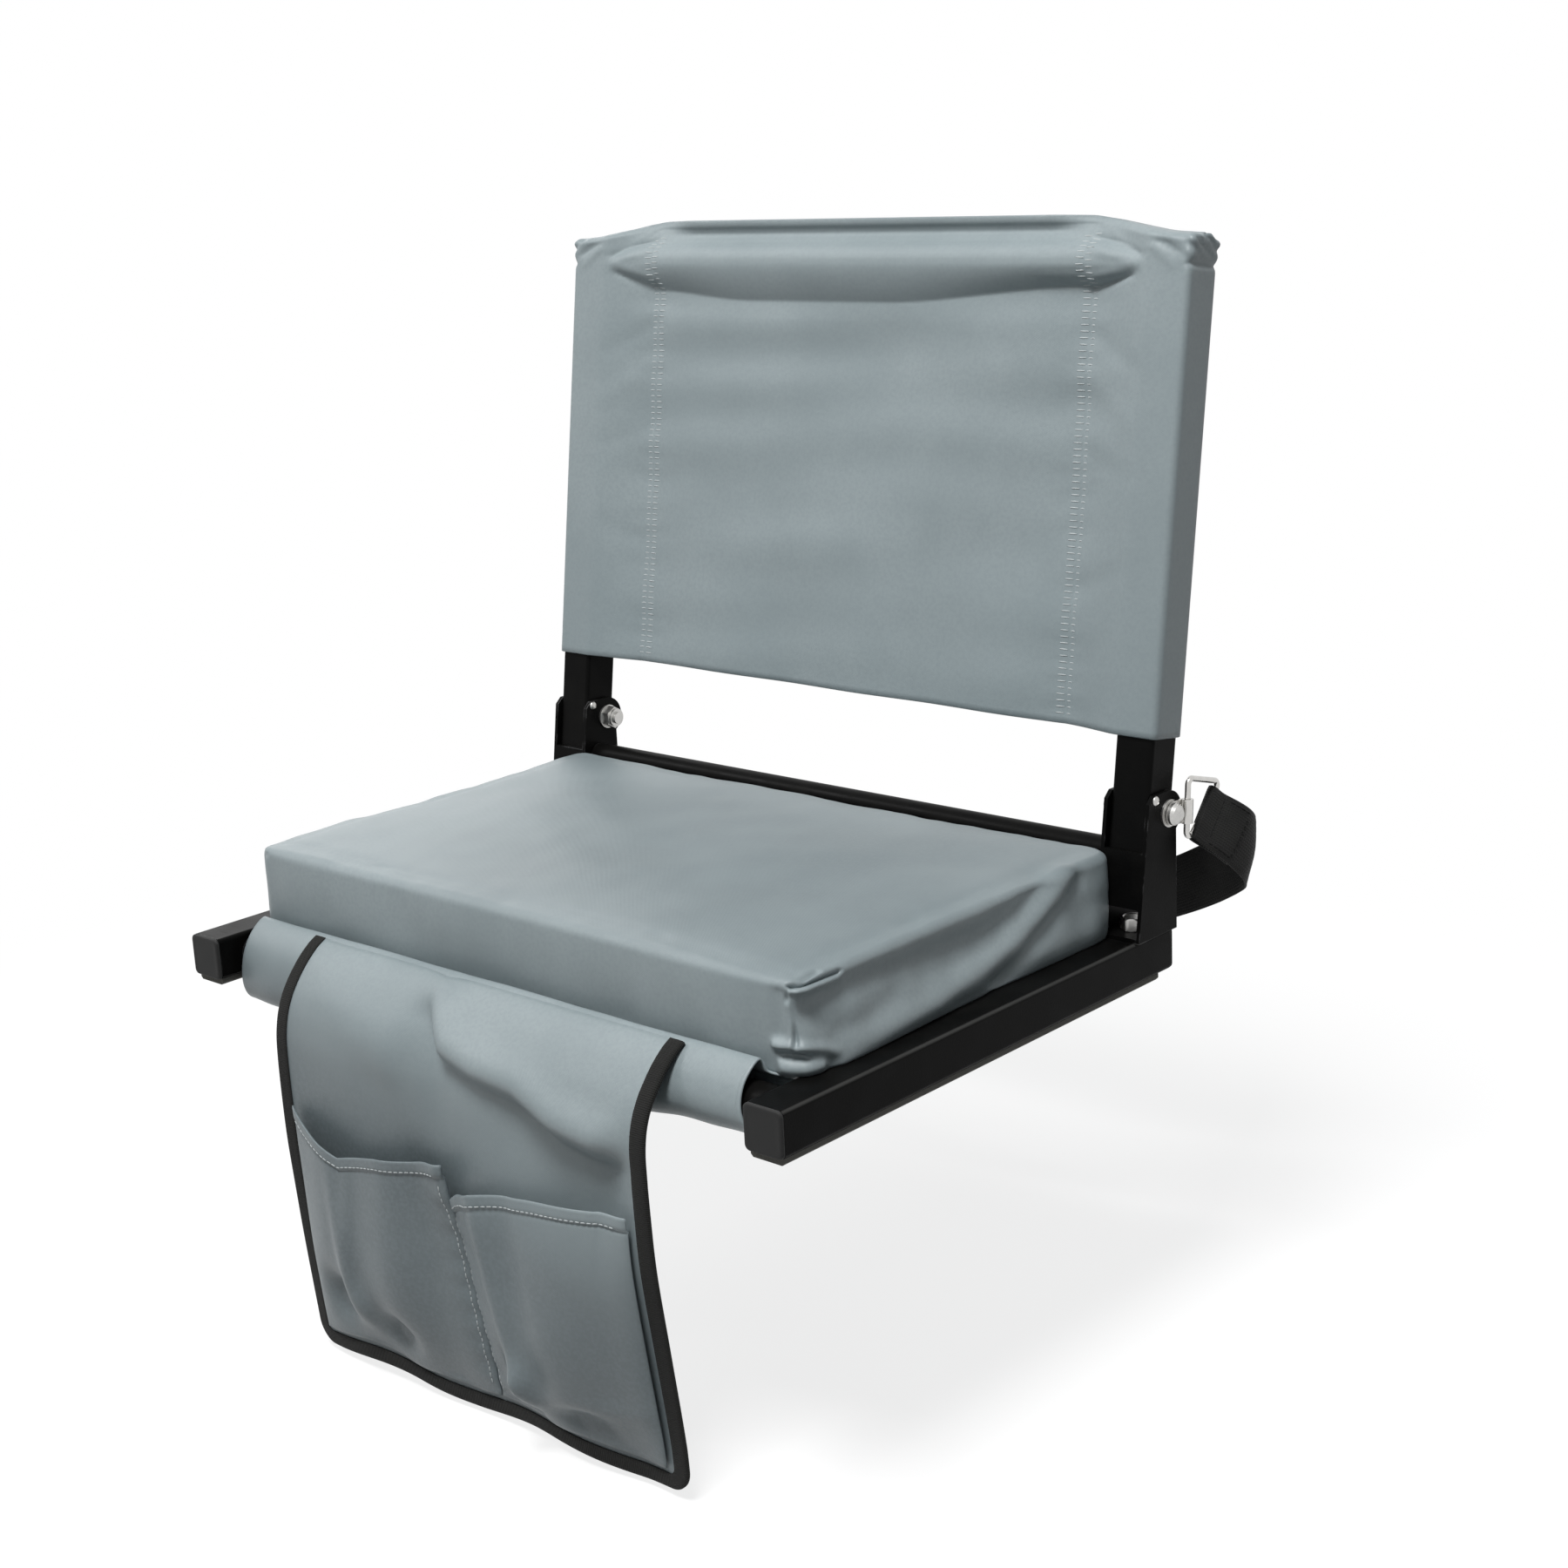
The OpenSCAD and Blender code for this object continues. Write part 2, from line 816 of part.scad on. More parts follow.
module cushion_form(inset) {
    rings = len(cushion_rings(inset));
    n = 4 * (4 + len(side_shares));
    walls = [
        for (k = [0 : rings - 2])
            for (i = [0 : n - 1])
                let (
                    a = k * n + i,
                    b = k * n + (i + 1) % n
                )
                each [[a, a + n, b], [b, a + n, b + n]]
    ];
    last = (rings - 1) * n;
    polyhedron(
        concat(cushion_points(inset), [
            [0, cushion_y, cushion_z + inset],
            [0, cushion_y, cushion_z + cushion_h - inset + crown]
        ]),
        concat(
            walls,
            [for (i = [0 : n - 1]) [i, (i + 1) % n, rings * n]],
            [for (i = [0 : n - 1]) [last + (i + 1) % n, last + i, rings * n + 1]]
        )
    );
}

module cushion_cover() {
    color(cloth_grey)
        difference() {
            cushion_form(0);
            cushion_form(cover_t);
        }
}

module cushion_foam() {
    color(foam_cream)
        cushion_form(cover_t + near);
}

// Bag: one hanging sheet with two open pockets, bound with tape along three sides

bag_line = smooth([
    [front_tube_y - 2, deck_z + 6.6], [front_tube_y - 9, deck_z + 2], [front_tube_y - 18, deck_z - 6],
    [front_tube_y - 27, deck_z - 18], [front_tube_y - 32.5, -6], [front_tube_y - 34.5, -26],
    [front_tube_y - 33.5, -70], [front_tube_y - 31, -120], [front_tube_y - 27, bag_foot]
], 4);

function along(p, z) =
    [for (i = [1 : len(p) - 1]) if (p[i][1] <= z && p[i - 1][1] > z) p[i - 1] + (p[i] - p[i - 1]) * (p[i - 1][1] - z) / (p[i - 1][1] - p[i][1])];

module sheet_of(line, t) {
    polygon(concat(beside(line, t / 2), reversed(beside(line, -t / 2))));
}

// Seen from the front: the bag's outline below a height, with its two lower corners rounded
module bag_front(half, foot, r) {
    rotate([90, 0, 0])
        linear_extrude(2 * seat_d, center = true) {
            translate([-half, foot + r])
                square([2 * half, seat_d]);
            translate([-half + r, foot])
                square([2 * half - 2 * r, r]);
            for (s = [-1, 1])
                translate([s * (half - r), foot + r])
                    circle(r = r);
        }
}

module slab(z0, z1) {
    translate([-seat_w, -seat_d, z0])
        cube([2 * seat_w, 2 * seat_d, z1 - z0]);
}

module bag_sheet() {
    across(bag_w / 2)
        sheet_of(bag_line, bag_t);
}

module tape_sheet() {
    for (s = [-1, 1])
        mirror([s < 0 ? 1 : 0, 0, 0])
            span(bag_w / 2 - tape_w, bag_w / 2 + tape_t)
                sheet_of(bag_line, bag_t + 2 * tape_t);
}

module bag_yoke() {
    color(cloth_grey)
        intersection() {
            bag_sheet();
            slab(swing_z, seat_d);
        }
}

module yoke_binding() {
    color(tape_black)
        difference() {
            intersection() {
                tape_sheet();
                slab(swing_z, seat_d);
            }
            bag_sheet();
        }
}

module bag_panel() {
    color(cloth_grey)
        intersection() {
            bag_sheet();
            slab(-seat_d, swing_z - swing_gap);
            bag_front(bag_w / 2, bag_foot, bag_corner);
        }
}

// The pocket's front sheet stands off from the panel at its mouth and meets it at the foot
function pocket_face(mouth, deep) =
    let (
        foot = bag_foot + tape_w + pocket_gap,
        start = along(bag_line, mouth)[0],
        end = along(bag_line, foot)[0]
    )
    smooth([
        start + [-bag_t / 2 - deep, 0],
        start + 0.3 * (end - start) + [-bag_t / 2 - deep * 1.05, 0],
        start + 0.62 * (end - start) + [-bag_t / 2 - deep * 0.95, 0],
        start + 0.88 * (end - start) + [-bag_t / 2 - deep * 0.6, 0],
        end + [-bag_t / 2 - hem_layer, 0]
    ], 4);

module pocket(x0, x1, mouth) {
    top = max(mouth[0], mouth[1]);
    foot = bag_foot + tape_w + pocket_gap;
    face = pocket_face(top, pocket_depth);
    wall_line = beside([for (q = bag_line) if (q[1] < top && q[1] > foot) q], -bag_t / 2);
    top_in = along(bag_line, top)[0] + [-bag_t / 2, 0];
    foot_in = along(bag_line, foot)[0] + [-bag_t / 2, 0];
    inner_face = beside(face, hem_layer);
    color(cloth_grey)
        difference() {
            span(x0, x1)
                polygon(concat([top_in], wall_line, [foot_in], reversed(face)));
            span(x0 + hem_layer, x1 - hem_layer)
                polygon(concat(
                    [top_in + [10, 5], foot_in + [10, 6], foot_in + [-0.2, 6]],
                    reversed([for (q = inner_face) if (q[1] > foot_in[1] + 6) q]),
                    [inner_face[0] + [0, 5]]
                ));
            rotate([90, 0, 0])
                linear_extrude(2 * seat_d, center = true)
                    polygon([
                        [x0 - 1, mouth[0]], [x1 + 1, mouth[1]], [x1 + 1, top + 5], [x0 - 1, top + 5]
                    ]);
            difference() {
                translate([x0 - 1, -seat_d, bag_foot - 1])
                    cube([x1 - x0 + 2, seat_d, 60]);
                bag_front(bag_w / 2 - tape_w - pocket_gap, foot, bag_corner - tape_w);
            }
        }
}

module left_pocket() {
    pocket(-bag_w / 2 + tape_w + pocket_gap, -pocket_gap, left_mouth_z);
}

module right_pocket() {
    pocket(pocket_gap, bag_w / 2 - tape_w - pocket_gap, right_mouth_z);
}

module bag_binding() {
    half = bag_w / 2;
    low = [bag_line[len(bag_line) - 1] + [0, -tape_t]];
    color(tape_black)
        difference() {
            intersection() {
                across(half + tape_t)
                    sheet_of(concat(bag_line, low), bag_t + 2 * tape_t);
                slab(-seat_d, swing_z - swing_gap);
                bag_front(half + tape_t, bag_foot - tape_t, bag_corner + tape_t);
            }
            bag_front(half - tape_w, bag_foot + tape_w, bag_corner - tape_w);
            intersection() {
                bag_sheet();
                bag_front(half, bag_foot, bag_corner);
            }
        }
}

// Strap rings in their clips, at the outer end of each pivot

module ring_frame(s) {
    pivot_side(s)
        rotate([s > 0 ? right_ring_turn : left_ring_turn, 0, 0])
            children();
}

module ring_clip(s) {
    color(nickel)
        ring_frame(s)
            difference() {
                union() {
                    x_rod(clip_x, clip_x + clip_t, barrel_len);
                    translate([clip_x, 0, -barrel_len / 2])
                        cube([clip_t, ring_off, barrel_len]);
                    translate([ring_x, ring_off, -barrel_len / 2])
                        cylinder(h = barrel_len, r = barrel_r);
                }
                x_rod(0, clip_x + 2 * clip_t, bolt_d + 2 * run);
                translate([ring_x, ring_off, -barrel_len])
                    cylinder(h = 2 * barrel_len, d = wire_d + 2 * slip);
            }
}

// A corner's bend between the sides to a and to c: [centre, first angle, angle turned]
function bend(a, b, c) =
    let (
        u = unit(a - b),
        v = unit(c - b),
        half = acos(u * v) / 2,
        mid = b + ring_r / sin(half) * unit(u + v),
        from = b + ring_r / tan(half) * u - mid
    )
    [mid, atan2(from[1], from[0]), 180 - 2 * half];

// The wire's middle line with its outward direction, round the three bends
bend_steps = 6;
ring_line = [
    for (i = [0 : 2])
        let (arc = bend(ring_corners[(i + 2) % 3], ring_corners[i], ring_corners[(i + 1) % 3]))
        each [
            for (k = [0 : bend_steps])
                let (
                    t = arc[1] + arc[2] * k / bend_steps,
                    out = [cos(t), sin(t)]
                )
                [arc[0] + ring_r * out, out]
        ]
];
wire_sides = 12;

module strap_ring(s) {
    n = len(ring_line);
    points = [
        for (q = ring_line)
            each [
                for (j = [0 : wire_sides - 1])
                    let (
                        t = 360 * j / wire_sides,
                        at = q[0] + wire_d / 2 * cos(t) * q[1]
                    )
                    [at[0], at[1], wire_d / 2 * sin(t)]
            ]
    ];
    faces = [
        for (i = [0 : n - 1])
            for (j = [0 : wire_sides - 1])
                let (
                    a = i * wire_sides + j,
                    b = i * wire_sides + (j + 1) % wire_sides,
                    c = (i + 1) % n * wire_sides + j,
                    d = (i + 1) % n * wire_sides + (j + 1) % wire_sides
                )
                each [[a, b, c], [c, b, d]]
    ];
    color(nickel)
        ring_frame(s)
            translate([ring_x, ring_off, 0])
                rotate([90, 0, 90])
                    polyhedron(points, faces);
}

// The strap's loop, folded round the ring's slanting side and sewn
module strap_loop(s) {
    ring_frame(s)
        translate([ring_x, ring_off + loop_place[0], loop_place[1]])
            rotate([-loop_lean, 0, 0])
                translate([0, 0, 0.5 - strap_w / 2])
                    difference() {
                        cylinder(h = strap_w - 1, d = loop_d);
                        translate([0, 0, -1])
                            cylinder(h = strap_w + 1, d = loop_bore);
                    }
}

module strap_run() {
    mids = smooth([for (p = strap_line) strap_point(p)], strap_steps);
    wides = smooth([for (p = strap_line) p[2]], strap_steps);
    n = len(mids);
    corners = [
        for (i = [0 : n - 1])
            let (
                t = unit(mids[min(i + 1, n - 1)] - mids[max(i - 1, 0)]),
                w = unit(wides[i] - (wides[i] * t) * t),
                k = cross(t, w)
            )
            each [
                for (c = [[-1, -1], [1, -1], [1, 1], [-1, 1]])
                    mids[i] + c[0] * strap_w / 2 * w + c[1] * strap_t / 2 * k
            ]
    ];
    sides = [
        for (i = [0 : n - 2])
            for (j = [0 : 3])
                let (
                    a = 4 * i + j,
                    b = 4 * i + (j + 1) % 4
                )
                each [[a, a + 4, b], [b, a + 4, b + 4]]
    ];
    last = 4 * (n - 1);
    polyhedron(corners, concat(
        [[0, 1, 2], [0, 2, 3]],
        sides,
        [[last, last + 2, last + 1], [last, last + 3, last + 2]]
    ));
}

module carry_strap() {
    color(webbing_black) {
        strap_run();
        for (s = [-1, 1])
            strap_loop(s);
    }
}

rail(-1);  // left_rail
rail(1);  // right_rail
rail_cap(-1, -1);  // left_front_cap
rail_cap(1, -1);  // right_front_cap
rail_cap(-1, 1);  // left_rear_cap
rail_cap(1, 1);  // right_rear_cap
foot_strip(-1);  // left_foot_strip
foot_strip(1);  // right_foot_strip
strip_rivets();
front_cross_tube();
rear_deck_tube();
rear_cross_bar();
bracket(-1);  // left_bracket
bracket(1);  // right_bracket
bracket_bolts();
bracket_nuts();
pivot_bolts();
pivot_nuts();
pivot_washers();
upright(-1);  // left_upright
upright(1);  // right_upright
pivot_bushes();
top_plugs();
heel_plugs();
top_cross_tube();
back_cover();
seat_deck();
cushion_cover();
cushion_foam();
bag_yoke();
yoke_binding();
bag_panel();
left_pocket();
right_pocket();
bag_binding();
ring_clip(-1);  // left_ring_clip
ring_clip(1);  // right_ring_clip
strap_ring(-1);  // left_strap_ring
strap_ring(1);  // right_strap_ring
carry_strap();
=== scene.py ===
# Folding bleacher seat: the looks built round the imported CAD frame. All lengths are metres.
import math
import bpy
import numpy as np
from mathutils import Matrix, Vector, kdtree


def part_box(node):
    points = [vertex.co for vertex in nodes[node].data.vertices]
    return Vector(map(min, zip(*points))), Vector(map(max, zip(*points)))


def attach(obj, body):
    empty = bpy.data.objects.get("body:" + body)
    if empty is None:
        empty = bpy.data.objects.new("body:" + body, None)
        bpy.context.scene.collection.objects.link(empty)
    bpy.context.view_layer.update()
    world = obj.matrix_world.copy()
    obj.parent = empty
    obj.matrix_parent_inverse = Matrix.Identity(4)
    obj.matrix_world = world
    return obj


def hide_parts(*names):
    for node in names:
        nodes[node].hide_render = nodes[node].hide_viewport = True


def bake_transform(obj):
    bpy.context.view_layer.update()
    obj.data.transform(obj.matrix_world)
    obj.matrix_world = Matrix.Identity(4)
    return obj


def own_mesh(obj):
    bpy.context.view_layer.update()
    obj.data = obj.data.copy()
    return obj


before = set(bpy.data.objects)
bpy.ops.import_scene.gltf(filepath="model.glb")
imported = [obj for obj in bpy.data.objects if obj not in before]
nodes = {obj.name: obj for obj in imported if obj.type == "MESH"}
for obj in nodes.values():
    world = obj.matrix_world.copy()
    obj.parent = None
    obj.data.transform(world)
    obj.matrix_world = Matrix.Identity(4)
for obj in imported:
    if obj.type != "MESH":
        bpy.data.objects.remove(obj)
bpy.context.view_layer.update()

MM = 0.001


# Camera
# The place and lens are fitted to the rails, caps, uprights and brackets in the photograph,
# which is 1800 pixels square.
camera_place = (0.984, -0.963, 0.482)
camera_yaw = 0.744
camera_pitch = 0.261
camera_roll = -0.049
camera_lens = 56.24
film_width = 36.0

ahead = Vector((
    -math.sin(camera_yaw) * math.cos(camera_pitch),
    math.cos(camera_yaw) * math.cos(camera_pitch),
    -math.sin(camera_pitch),
))
level = Vector((math.cos(camera_yaw), math.sin(camera_yaw), 0.0))
upward = level.cross(ahead)
right = math.cos(camera_roll) * level + math.sin(camera_roll) * upward
above = -math.sin(camera_roll) * level + math.cos(camera_roll) * upward
camera_data = bpy.data.cameras.new("camera")
camera_data.lens = camera_lens
camera_data.sensor_width = film_width
camera_data.clip_start = 0.05
camera_data.clip_end = 50.0
camera = bpy.data.objects.new("camera", camera_data)
turn = Matrix((right, above, -ahead)).transposed().to_4x4()
camera.matrix_world = Matrix.Translation(camera_place) @ turn
bpy.context.collection.objects.link(camera)
bpy.context.scene.camera = camera
bpy.context.scene.view_settings.view_transform = "Standard"


# Studio
# A plain pale floor just under the bag, and soft lamps above and beside the seat. The floor and
# the world are white to the camera and in reflections, and the floor keeps a soft shadow.
floor_z = -0.2175
floor_half = 40.0
lamp_list = [
    ("lamp_key", (0.4, -1.1, 2.4), (0.0, -0.05, 0.05), 0.8, 69.0),
    ("lamp_rear", (-1.9, 1.0, 0.85), (-0.1, 0.0, 0.08), 0.8, 3.5),
    ("lamp_left", (-2.0, -1.1, 1.9), (0.0, -0.1, 0.0), 0.8, 17.0),
]


def add_lamp(name, place, target, size, power):
    data = bpy.data.lights.new(name, "AREA")
    data.shape = "SQUARE"
    data.size = size
    data.energy = power
    lamp = bpy.data.objects.new(name, data)
    lamp.location = place
    aim = Vector(target) - Vector(place)
    lamp.rotation_euler = aim.to_track_quat("-Z", "Y").to_euler()
    bpy.context.collection.objects.link(lamp)


for lamp_row in lamp_list:
    add_lamp(*lamp_row)

world = bpy.data.worlds.new("studio")
world.use_nodes = True
bpy.context.scene.world = world
world_nodes = world.node_tree.nodes
world_links = world.node_tree.links
soft_light = world_nodes["Background"]
soft_light.inputs["Color"].default_value = (0.93, 0.97, 1.0, 1.0)
soft_light.inputs["Strength"].default_value = 0.17
white_light = world_nodes.new("ShaderNodeBackground")
white_light.inputs["Color"].default_value = (1.0, 1.0, 1.0, 1.0)
white_light.inputs["Strength"].default_value = 1.0
world_path = world_nodes.new("ShaderNodeLightPath")
world_mix = world_nodes.new("ShaderNodeMixShader")
world_seen = world_nodes.new("ShaderNodeMath")
world_seen.operation = "MAXIMUM"
world_shine = world_nodes.new("ShaderNodeMath")
world_shine.operation = "MAXIMUM"
world_links.new(world_path.outputs["Is Camera Ray"], world_seen.inputs[0])
world_links.new(world_path.outputs["Is Transmission Ray"], world_seen.inputs[1])
world_links.new(world_seen.outputs[0], world_shine.inputs[0])
world_links.new(world_path.outputs["Is Glossy Ray"], world_shine.inputs[1])
world_links.new(world_shine.outputs[0], world_mix.inputs[0])
world_links.new(soft_light.outputs[0], world_mix.inputs[1])
world_links.new(white_light.outputs[0], world_mix.inputs[2])
world_links.new(world_mix.outputs[0], world_nodes["World Output"].inputs["Surface"])

floor_mesh = bpy.data.meshes.new("floor")
floor_mesh.from_pydata(
    [
        (-floor_half, -floor_half, floor_z),
        (floor_half, -floor_half, floor_z),
        (floor_half, floor_half, floor_z),
        (-floor_half, floor_half, floor_z),
    ],
    [],
    [(0, 1, 2, 3)],
)
floor = bpy.data.objects.new("floor", floor_mesh)
bpy.context.collection.objects.link(floor)
floor_finish = bpy.data.materials.new("floor_paper")
floor_finish.use_nodes = True
floor_nodes = floor_finish.node_tree.nodes
floor_links = floor_finish.node_tree.links
floor_nodes.remove(floor_nodes["Principled BSDF"])
floor_paper = floor_nodes.new("ShaderNodeBsdfDiffuse")
floor_paper.inputs["Color"].default_value = (0.28, 0.28, 0.28, 1.0)
floor_glow = floor_nodes.new("ShaderNodeEmission")
floor_glow.inputs["Strength"].default_value = 0.8
floor_sum = floor_nodes.new("ShaderNodeAddShader")
floor_path = floor_nodes.new("ShaderNodeLightPath")
floor_mix = floor_nodes.new("ShaderNodeMixShader")
floor_seen = floor_nodes.new("ShaderNodeMath")
floor_seen.operation = "MAXIMUM"
floor_links.new(floor_paper.outputs[0], floor_sum.inputs[0])
floor_links.new(floor_glow.outputs[0], floor_sum.inputs[1])
floor_links.new(floor_path.outputs["Is Camera Ray"], floor_seen.inputs[0])
floor_links.new(floor_path.outputs["Is Glossy Ray"], floor_seen.inputs[1])
floor_white = floor_nodes.new("ShaderNodeEmission")
floor_white.inputs["Strength"].default_value = 1.0
floor_place = floor_nodes.new("ShaderNodeTexCoord")
floor_reach = floor_nodes.new("ShaderNodeVectorMath")
floor_reach.operation = "LENGTH"
floor_far = floor_nodes.new("ShaderNodeMapRange")
floor_far.interpolation_type = "SMOOTHSTEP"
floor_far.inputs["From Min"].default_value = 0.45
floor_far.inputs["From Max"].default_value = 1.1
floor_fade = floor_nodes.new("ShaderNodeMixShader")
floor_links.new(floor_place.outputs["Object"], floor_reach.inputs[0])
floor_links.new(floor_reach.outputs["Value"], floor_far.inputs["Value"])
floor_links.new(floor_far.outputs["Result"], floor_fade.inputs[0])
floor_links.new(floor_sum.outputs[0], floor_fade.inputs[1])
floor_links.new(floor_white.outputs[0], floor_fade.inputs[2])
floor_links.new(floor_seen.outputs[0], floor_mix.inputs[0])
floor_links.new(floor_paper.outputs[0], floor_mix.inputs[1])
floor_links.new(floor_fade.outputs[0], floor_mix.inputs[2])
floor_links.new(floor_mix.outputs[0], floor_nodes["Material Output"].inputs["Surface"])
floor_mesh.materials.append(floor_finish)


# Steel frame
# Square and round tubes and bent brackets, with a semi-gloss black powder coat that has a slight
# orange peel and is rubbed bright along some edges. A painted highlight runs along the rails' top
# outer edges. The imported shapes stay as they are.
class Amount:
    """A node socket that can be added to, multiplied and so on."""

    def __init__(self, paint, socket):
        self.paint = paint
        self.socket = socket

    def maths(self, operation, *values):
        settings = {"operation": operation}
        made = self.paint.node("ShaderNodeMath", settings, dict(enumerate(values)))
        return Amount(self.paint, made.outputs[0])

    def __add__(self, other):
        return self.maths("ADD", self, other)

    def __radd__(self, other):
        return self.maths("ADD", other, self)

    def __rsub__(self, other):
        return self.maths("SUBTRACT", other, self)

    def __mul__(self, other):
        return self.maths("MULTIPLY", self, other)

    def __rmul__(self, other):
        return self.maths("MULTIPLY", other, self)

    def sine(self):
        return self.maths("SINE", self)

    def ramp(self, low, high, start=0.0, end=1.0):
        """A smooth step from start at low to end at high."""
        made = self.paint.node(
            "ShaderNodeMapRange",
            {"interpolation_type": "SMOOTHSTEP"},
            {"Value": self, "From Min": low, "From Max": high, "To Min": start, "To Max": end},
        )
        return Amount(self.paint, made.outputs["Result"])


class Paint:
    """A material: constants of its principled shader, and nodes that vary it."""

    def __init__(self, name, constants):
        self.material = bpy.data.materials.new(name)
        self.material.use_nodes = True
        self.tree = self.material.node_tree
        self.shader = self.tree.nodes["Principled BSDF"]
        for key, value in constants.items():
            self.shader.inputs[key].default_value = value

    def node(self, kind, settings, inputs):
        made = self.tree.nodes.new(kind)
        for key, value in settings.items():
            setattr(made, key, value)
        for key, value in inputs.items():
            if isinstance(value, Amount):
                self.tree.links.new(value.socket, made.inputs[key])
            else:
                made.inputs[key].default_value = value
        return made

    def place(self, stretch=(1.0, 1.0, 1.0), output="Object"):
        coordinates = self.node("ShaderNodeTexCoord", {}, {}).outputs[output]
        made = self.node(
            "ShaderNodeVectorMath",
            {"operation": "MULTIPLY"},
            {0: Amount(self, coordinates), 1: stretch},
        )
        return Amount(self, made.outputs["Vector"])

    def parts(self, vector):
        made = self.node("ShaderNodeSeparateXYZ", {}, {0: vector})
        return [Amount(self, made.outputs[k]) for k in range(3)]

    def noise(self, where, scale, detail=2.0, roughness=0.5):
        inputs = {"Vector": where, "Scale": scale, "Detail": detail, "Roughness": roughness}
        made = self.node("ShaderNodeTexNoise", {}, inputs)
        return Amount(self, made.outputs[0])

    def mix(self, share, first, second):
        first = first if isinstance(first, Amount) else (*first, 1.0)
        second = second if isinstance(second, Amount) else (*second, 1.0)
        settings = {"data_type": "RGBA", "blend_type": "MIX"}
        made = self.node("ShaderNodeMix", settings, {0: share, 6: first, 7: second})
        return Amount(self, made.outputs[2])

    def worn(self, radius, low, high):
        """Near 1 along outward edges, where the coat rubs off."""
        rounded = self.node("ShaderNodeBevel", {"samples": 4}, {"Radius": radius})
        plain = self.node("ShaderNodeNewGeometry", {}, {})
        made = self.node(
            "ShaderNodeVectorMath",
            {"operation": "DOT_PRODUCT"},
            {0: Amount(self, rounded.outputs[0]), 1: Amount(self, plain.outputs["Normal"])},
        )
        return (1.0 - Amount(self, made.outputs["Value"])).ramp(low, high)

    def show(self, **values):
        """Feeds sockets of the shader, such as Base_Color."""
        for key, value in values.items():
            self.tree.links.new(value.socket, self.shader.inputs[key.replace("_", " ")])

    def bump(self, height, distance, strength=1.0):
        inputs = {"Height": height, "Distance": distance, "Strength": strength}
        made = self.node("ShaderNodeBump", {}, inputs)
        self.show(Normal=Amount(self, made.outputs[0]))


def dress(paint, *names):
    """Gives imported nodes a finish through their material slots."""
    for name in names:
        for holder in nodes[name].material_slots:
            holder.link = "OBJECT"
            holder.material = paint.material


# The low specular level and weak coat are matched to the blacks of the photograph, and so is the
# light line along the rails' top outer edge, which is a painted highlight and not wear.
steel = Paint("black_steel", {"Coat Roughness": 0.22, "Specular IOR Level": 0.035})
steel_place = steel.place()
steel_dust = steel.noise(steel_place, 38.0, 4.0, 0.6)
steel_peel = steel.noise(steel_place, 900.0, 1.0)
steel_scuff = steel.noise(steel.place((60.0, 900.0, 300.0)), 1.0, 3.0)
steel_wear = steel.worn(0.0011, 0.02, 0.12) * steel_dust.ramp(0.5, 0.66)
steel_black = steel.mix(steel_dust.ramp(0.3, 0.75), (0.002, 0.002, 0.002), (0.005, 0.0049, 0.0046))
steel_x, _, steel_z = steel.parts(steel_place)
# Painted highlight: a light line along the top outer edge of each rail, not wear.
rail_edge_highlight = steel_x.maths("ABSOLUTE", steel_x).ramp(0.2378, 0.2391) * steel_z.ramp(0.0270, 0.0282)
rail_edge_highlight = rail_edge_highlight * steel_z.ramp(0.0291, 0.0297, 1.0, 0.0) * (0.55 + 0.45 * steel_dust)
steel_highlighted = steel.mix(rail_edge_highlight, steel_black, (0.060, 0.060, 0.058))
steel.show(
    Base_Color=steel.mix(steel_wear * 0.7, steel_highlighted, (0.16, 0.16, 0.165)),
    Roughness=0.3 + 0.16 * steel_dust + 0.08 * steel_scuff.ramp(0.62, 0.8),
    Metallic=steel_wear * 0.6,
    Coat_Weight=steel_dust.ramp(0.3, 0.6, 0.035, 0.01),
)
steel.bump(steel_peel + 0.3 * steel_scuff, 0.00008, 0.6)
dress(
    steel,
    "left_rail", "right_rail", "front_cross_tube", "rear_deck_tube", "rear_cross_bar",
    "left_bracket", "right_bracket", "left_upright", "right_upright", "top_cross_tube",
)


# Rail caps
# Moulded matte plastic caps pushed into both ends of each rail. Each has a collar against the
# tube, a softly rounded rim and a slightly domed face with a fine moulded grain.
cap_corner = 3.0 * MM
cap_depth = 2.5 * MM
cap_rings = [
    (-11.0, 10.2), (-1.0, 10.6), (0.02, 10.6), (0.02, 12.35), (0.35, 12.5), (0.85, 12.5),
    (1.0, 12.28), (1.15, 12.28), (1.3, 12.5), (1.9, 12.42), (2.25, 12.15), (2.45, 11.6),
    (2.48, 10.6), (2.36, 9.9), (2.4, 8.0), (2.46, 4.0), (2.5, 0.4),
]


def rounded_square(half, corner, steps=8):
    """Points round a square with rounded corners, anticlockwise."""
    ring = []
    inner = half - corner
    for quarter in range(4):
        middle = math.radians(45 + 90 * quarter)
        cx = math.copysign(inner, math.cos(middle))
        cy = math.copysign(inner, math.sin(middle))
        for k in range(steps + 1):
            a = math.radians(90 * quarter + 90 * k / steps)
            ring.append((cx + corner * math.cos(a), cy + corner * math.sin(a)))
    return ring


def make_object(name, points, faces, material, uvs=None, sharp=None):
    """A smooth-shaded mesh object at the origin. uvs has one pair for each face corner."""
    mesh = bpy.data.meshes.new(name)
    mesh.from_pydata([tuple(p) for p in points], [], faces)
    mesh.validate()
    if uvs is not None:
        layer = mesh.uv_layers.new(name="UVMap")
        layer.data.foreach_set("uv", np.asarray(uvs, dtype=np.float32).ravel())
    mesh.shade_smooth()
    if sharp is not None:
        mesh.set_sharp_from_angle(angle=math.radians(sharp))
    mesh.materials.append(material)
    made = bpy.data.objects.new(name, mesh)
    bpy.context.collection.objects.link(made)
    return made


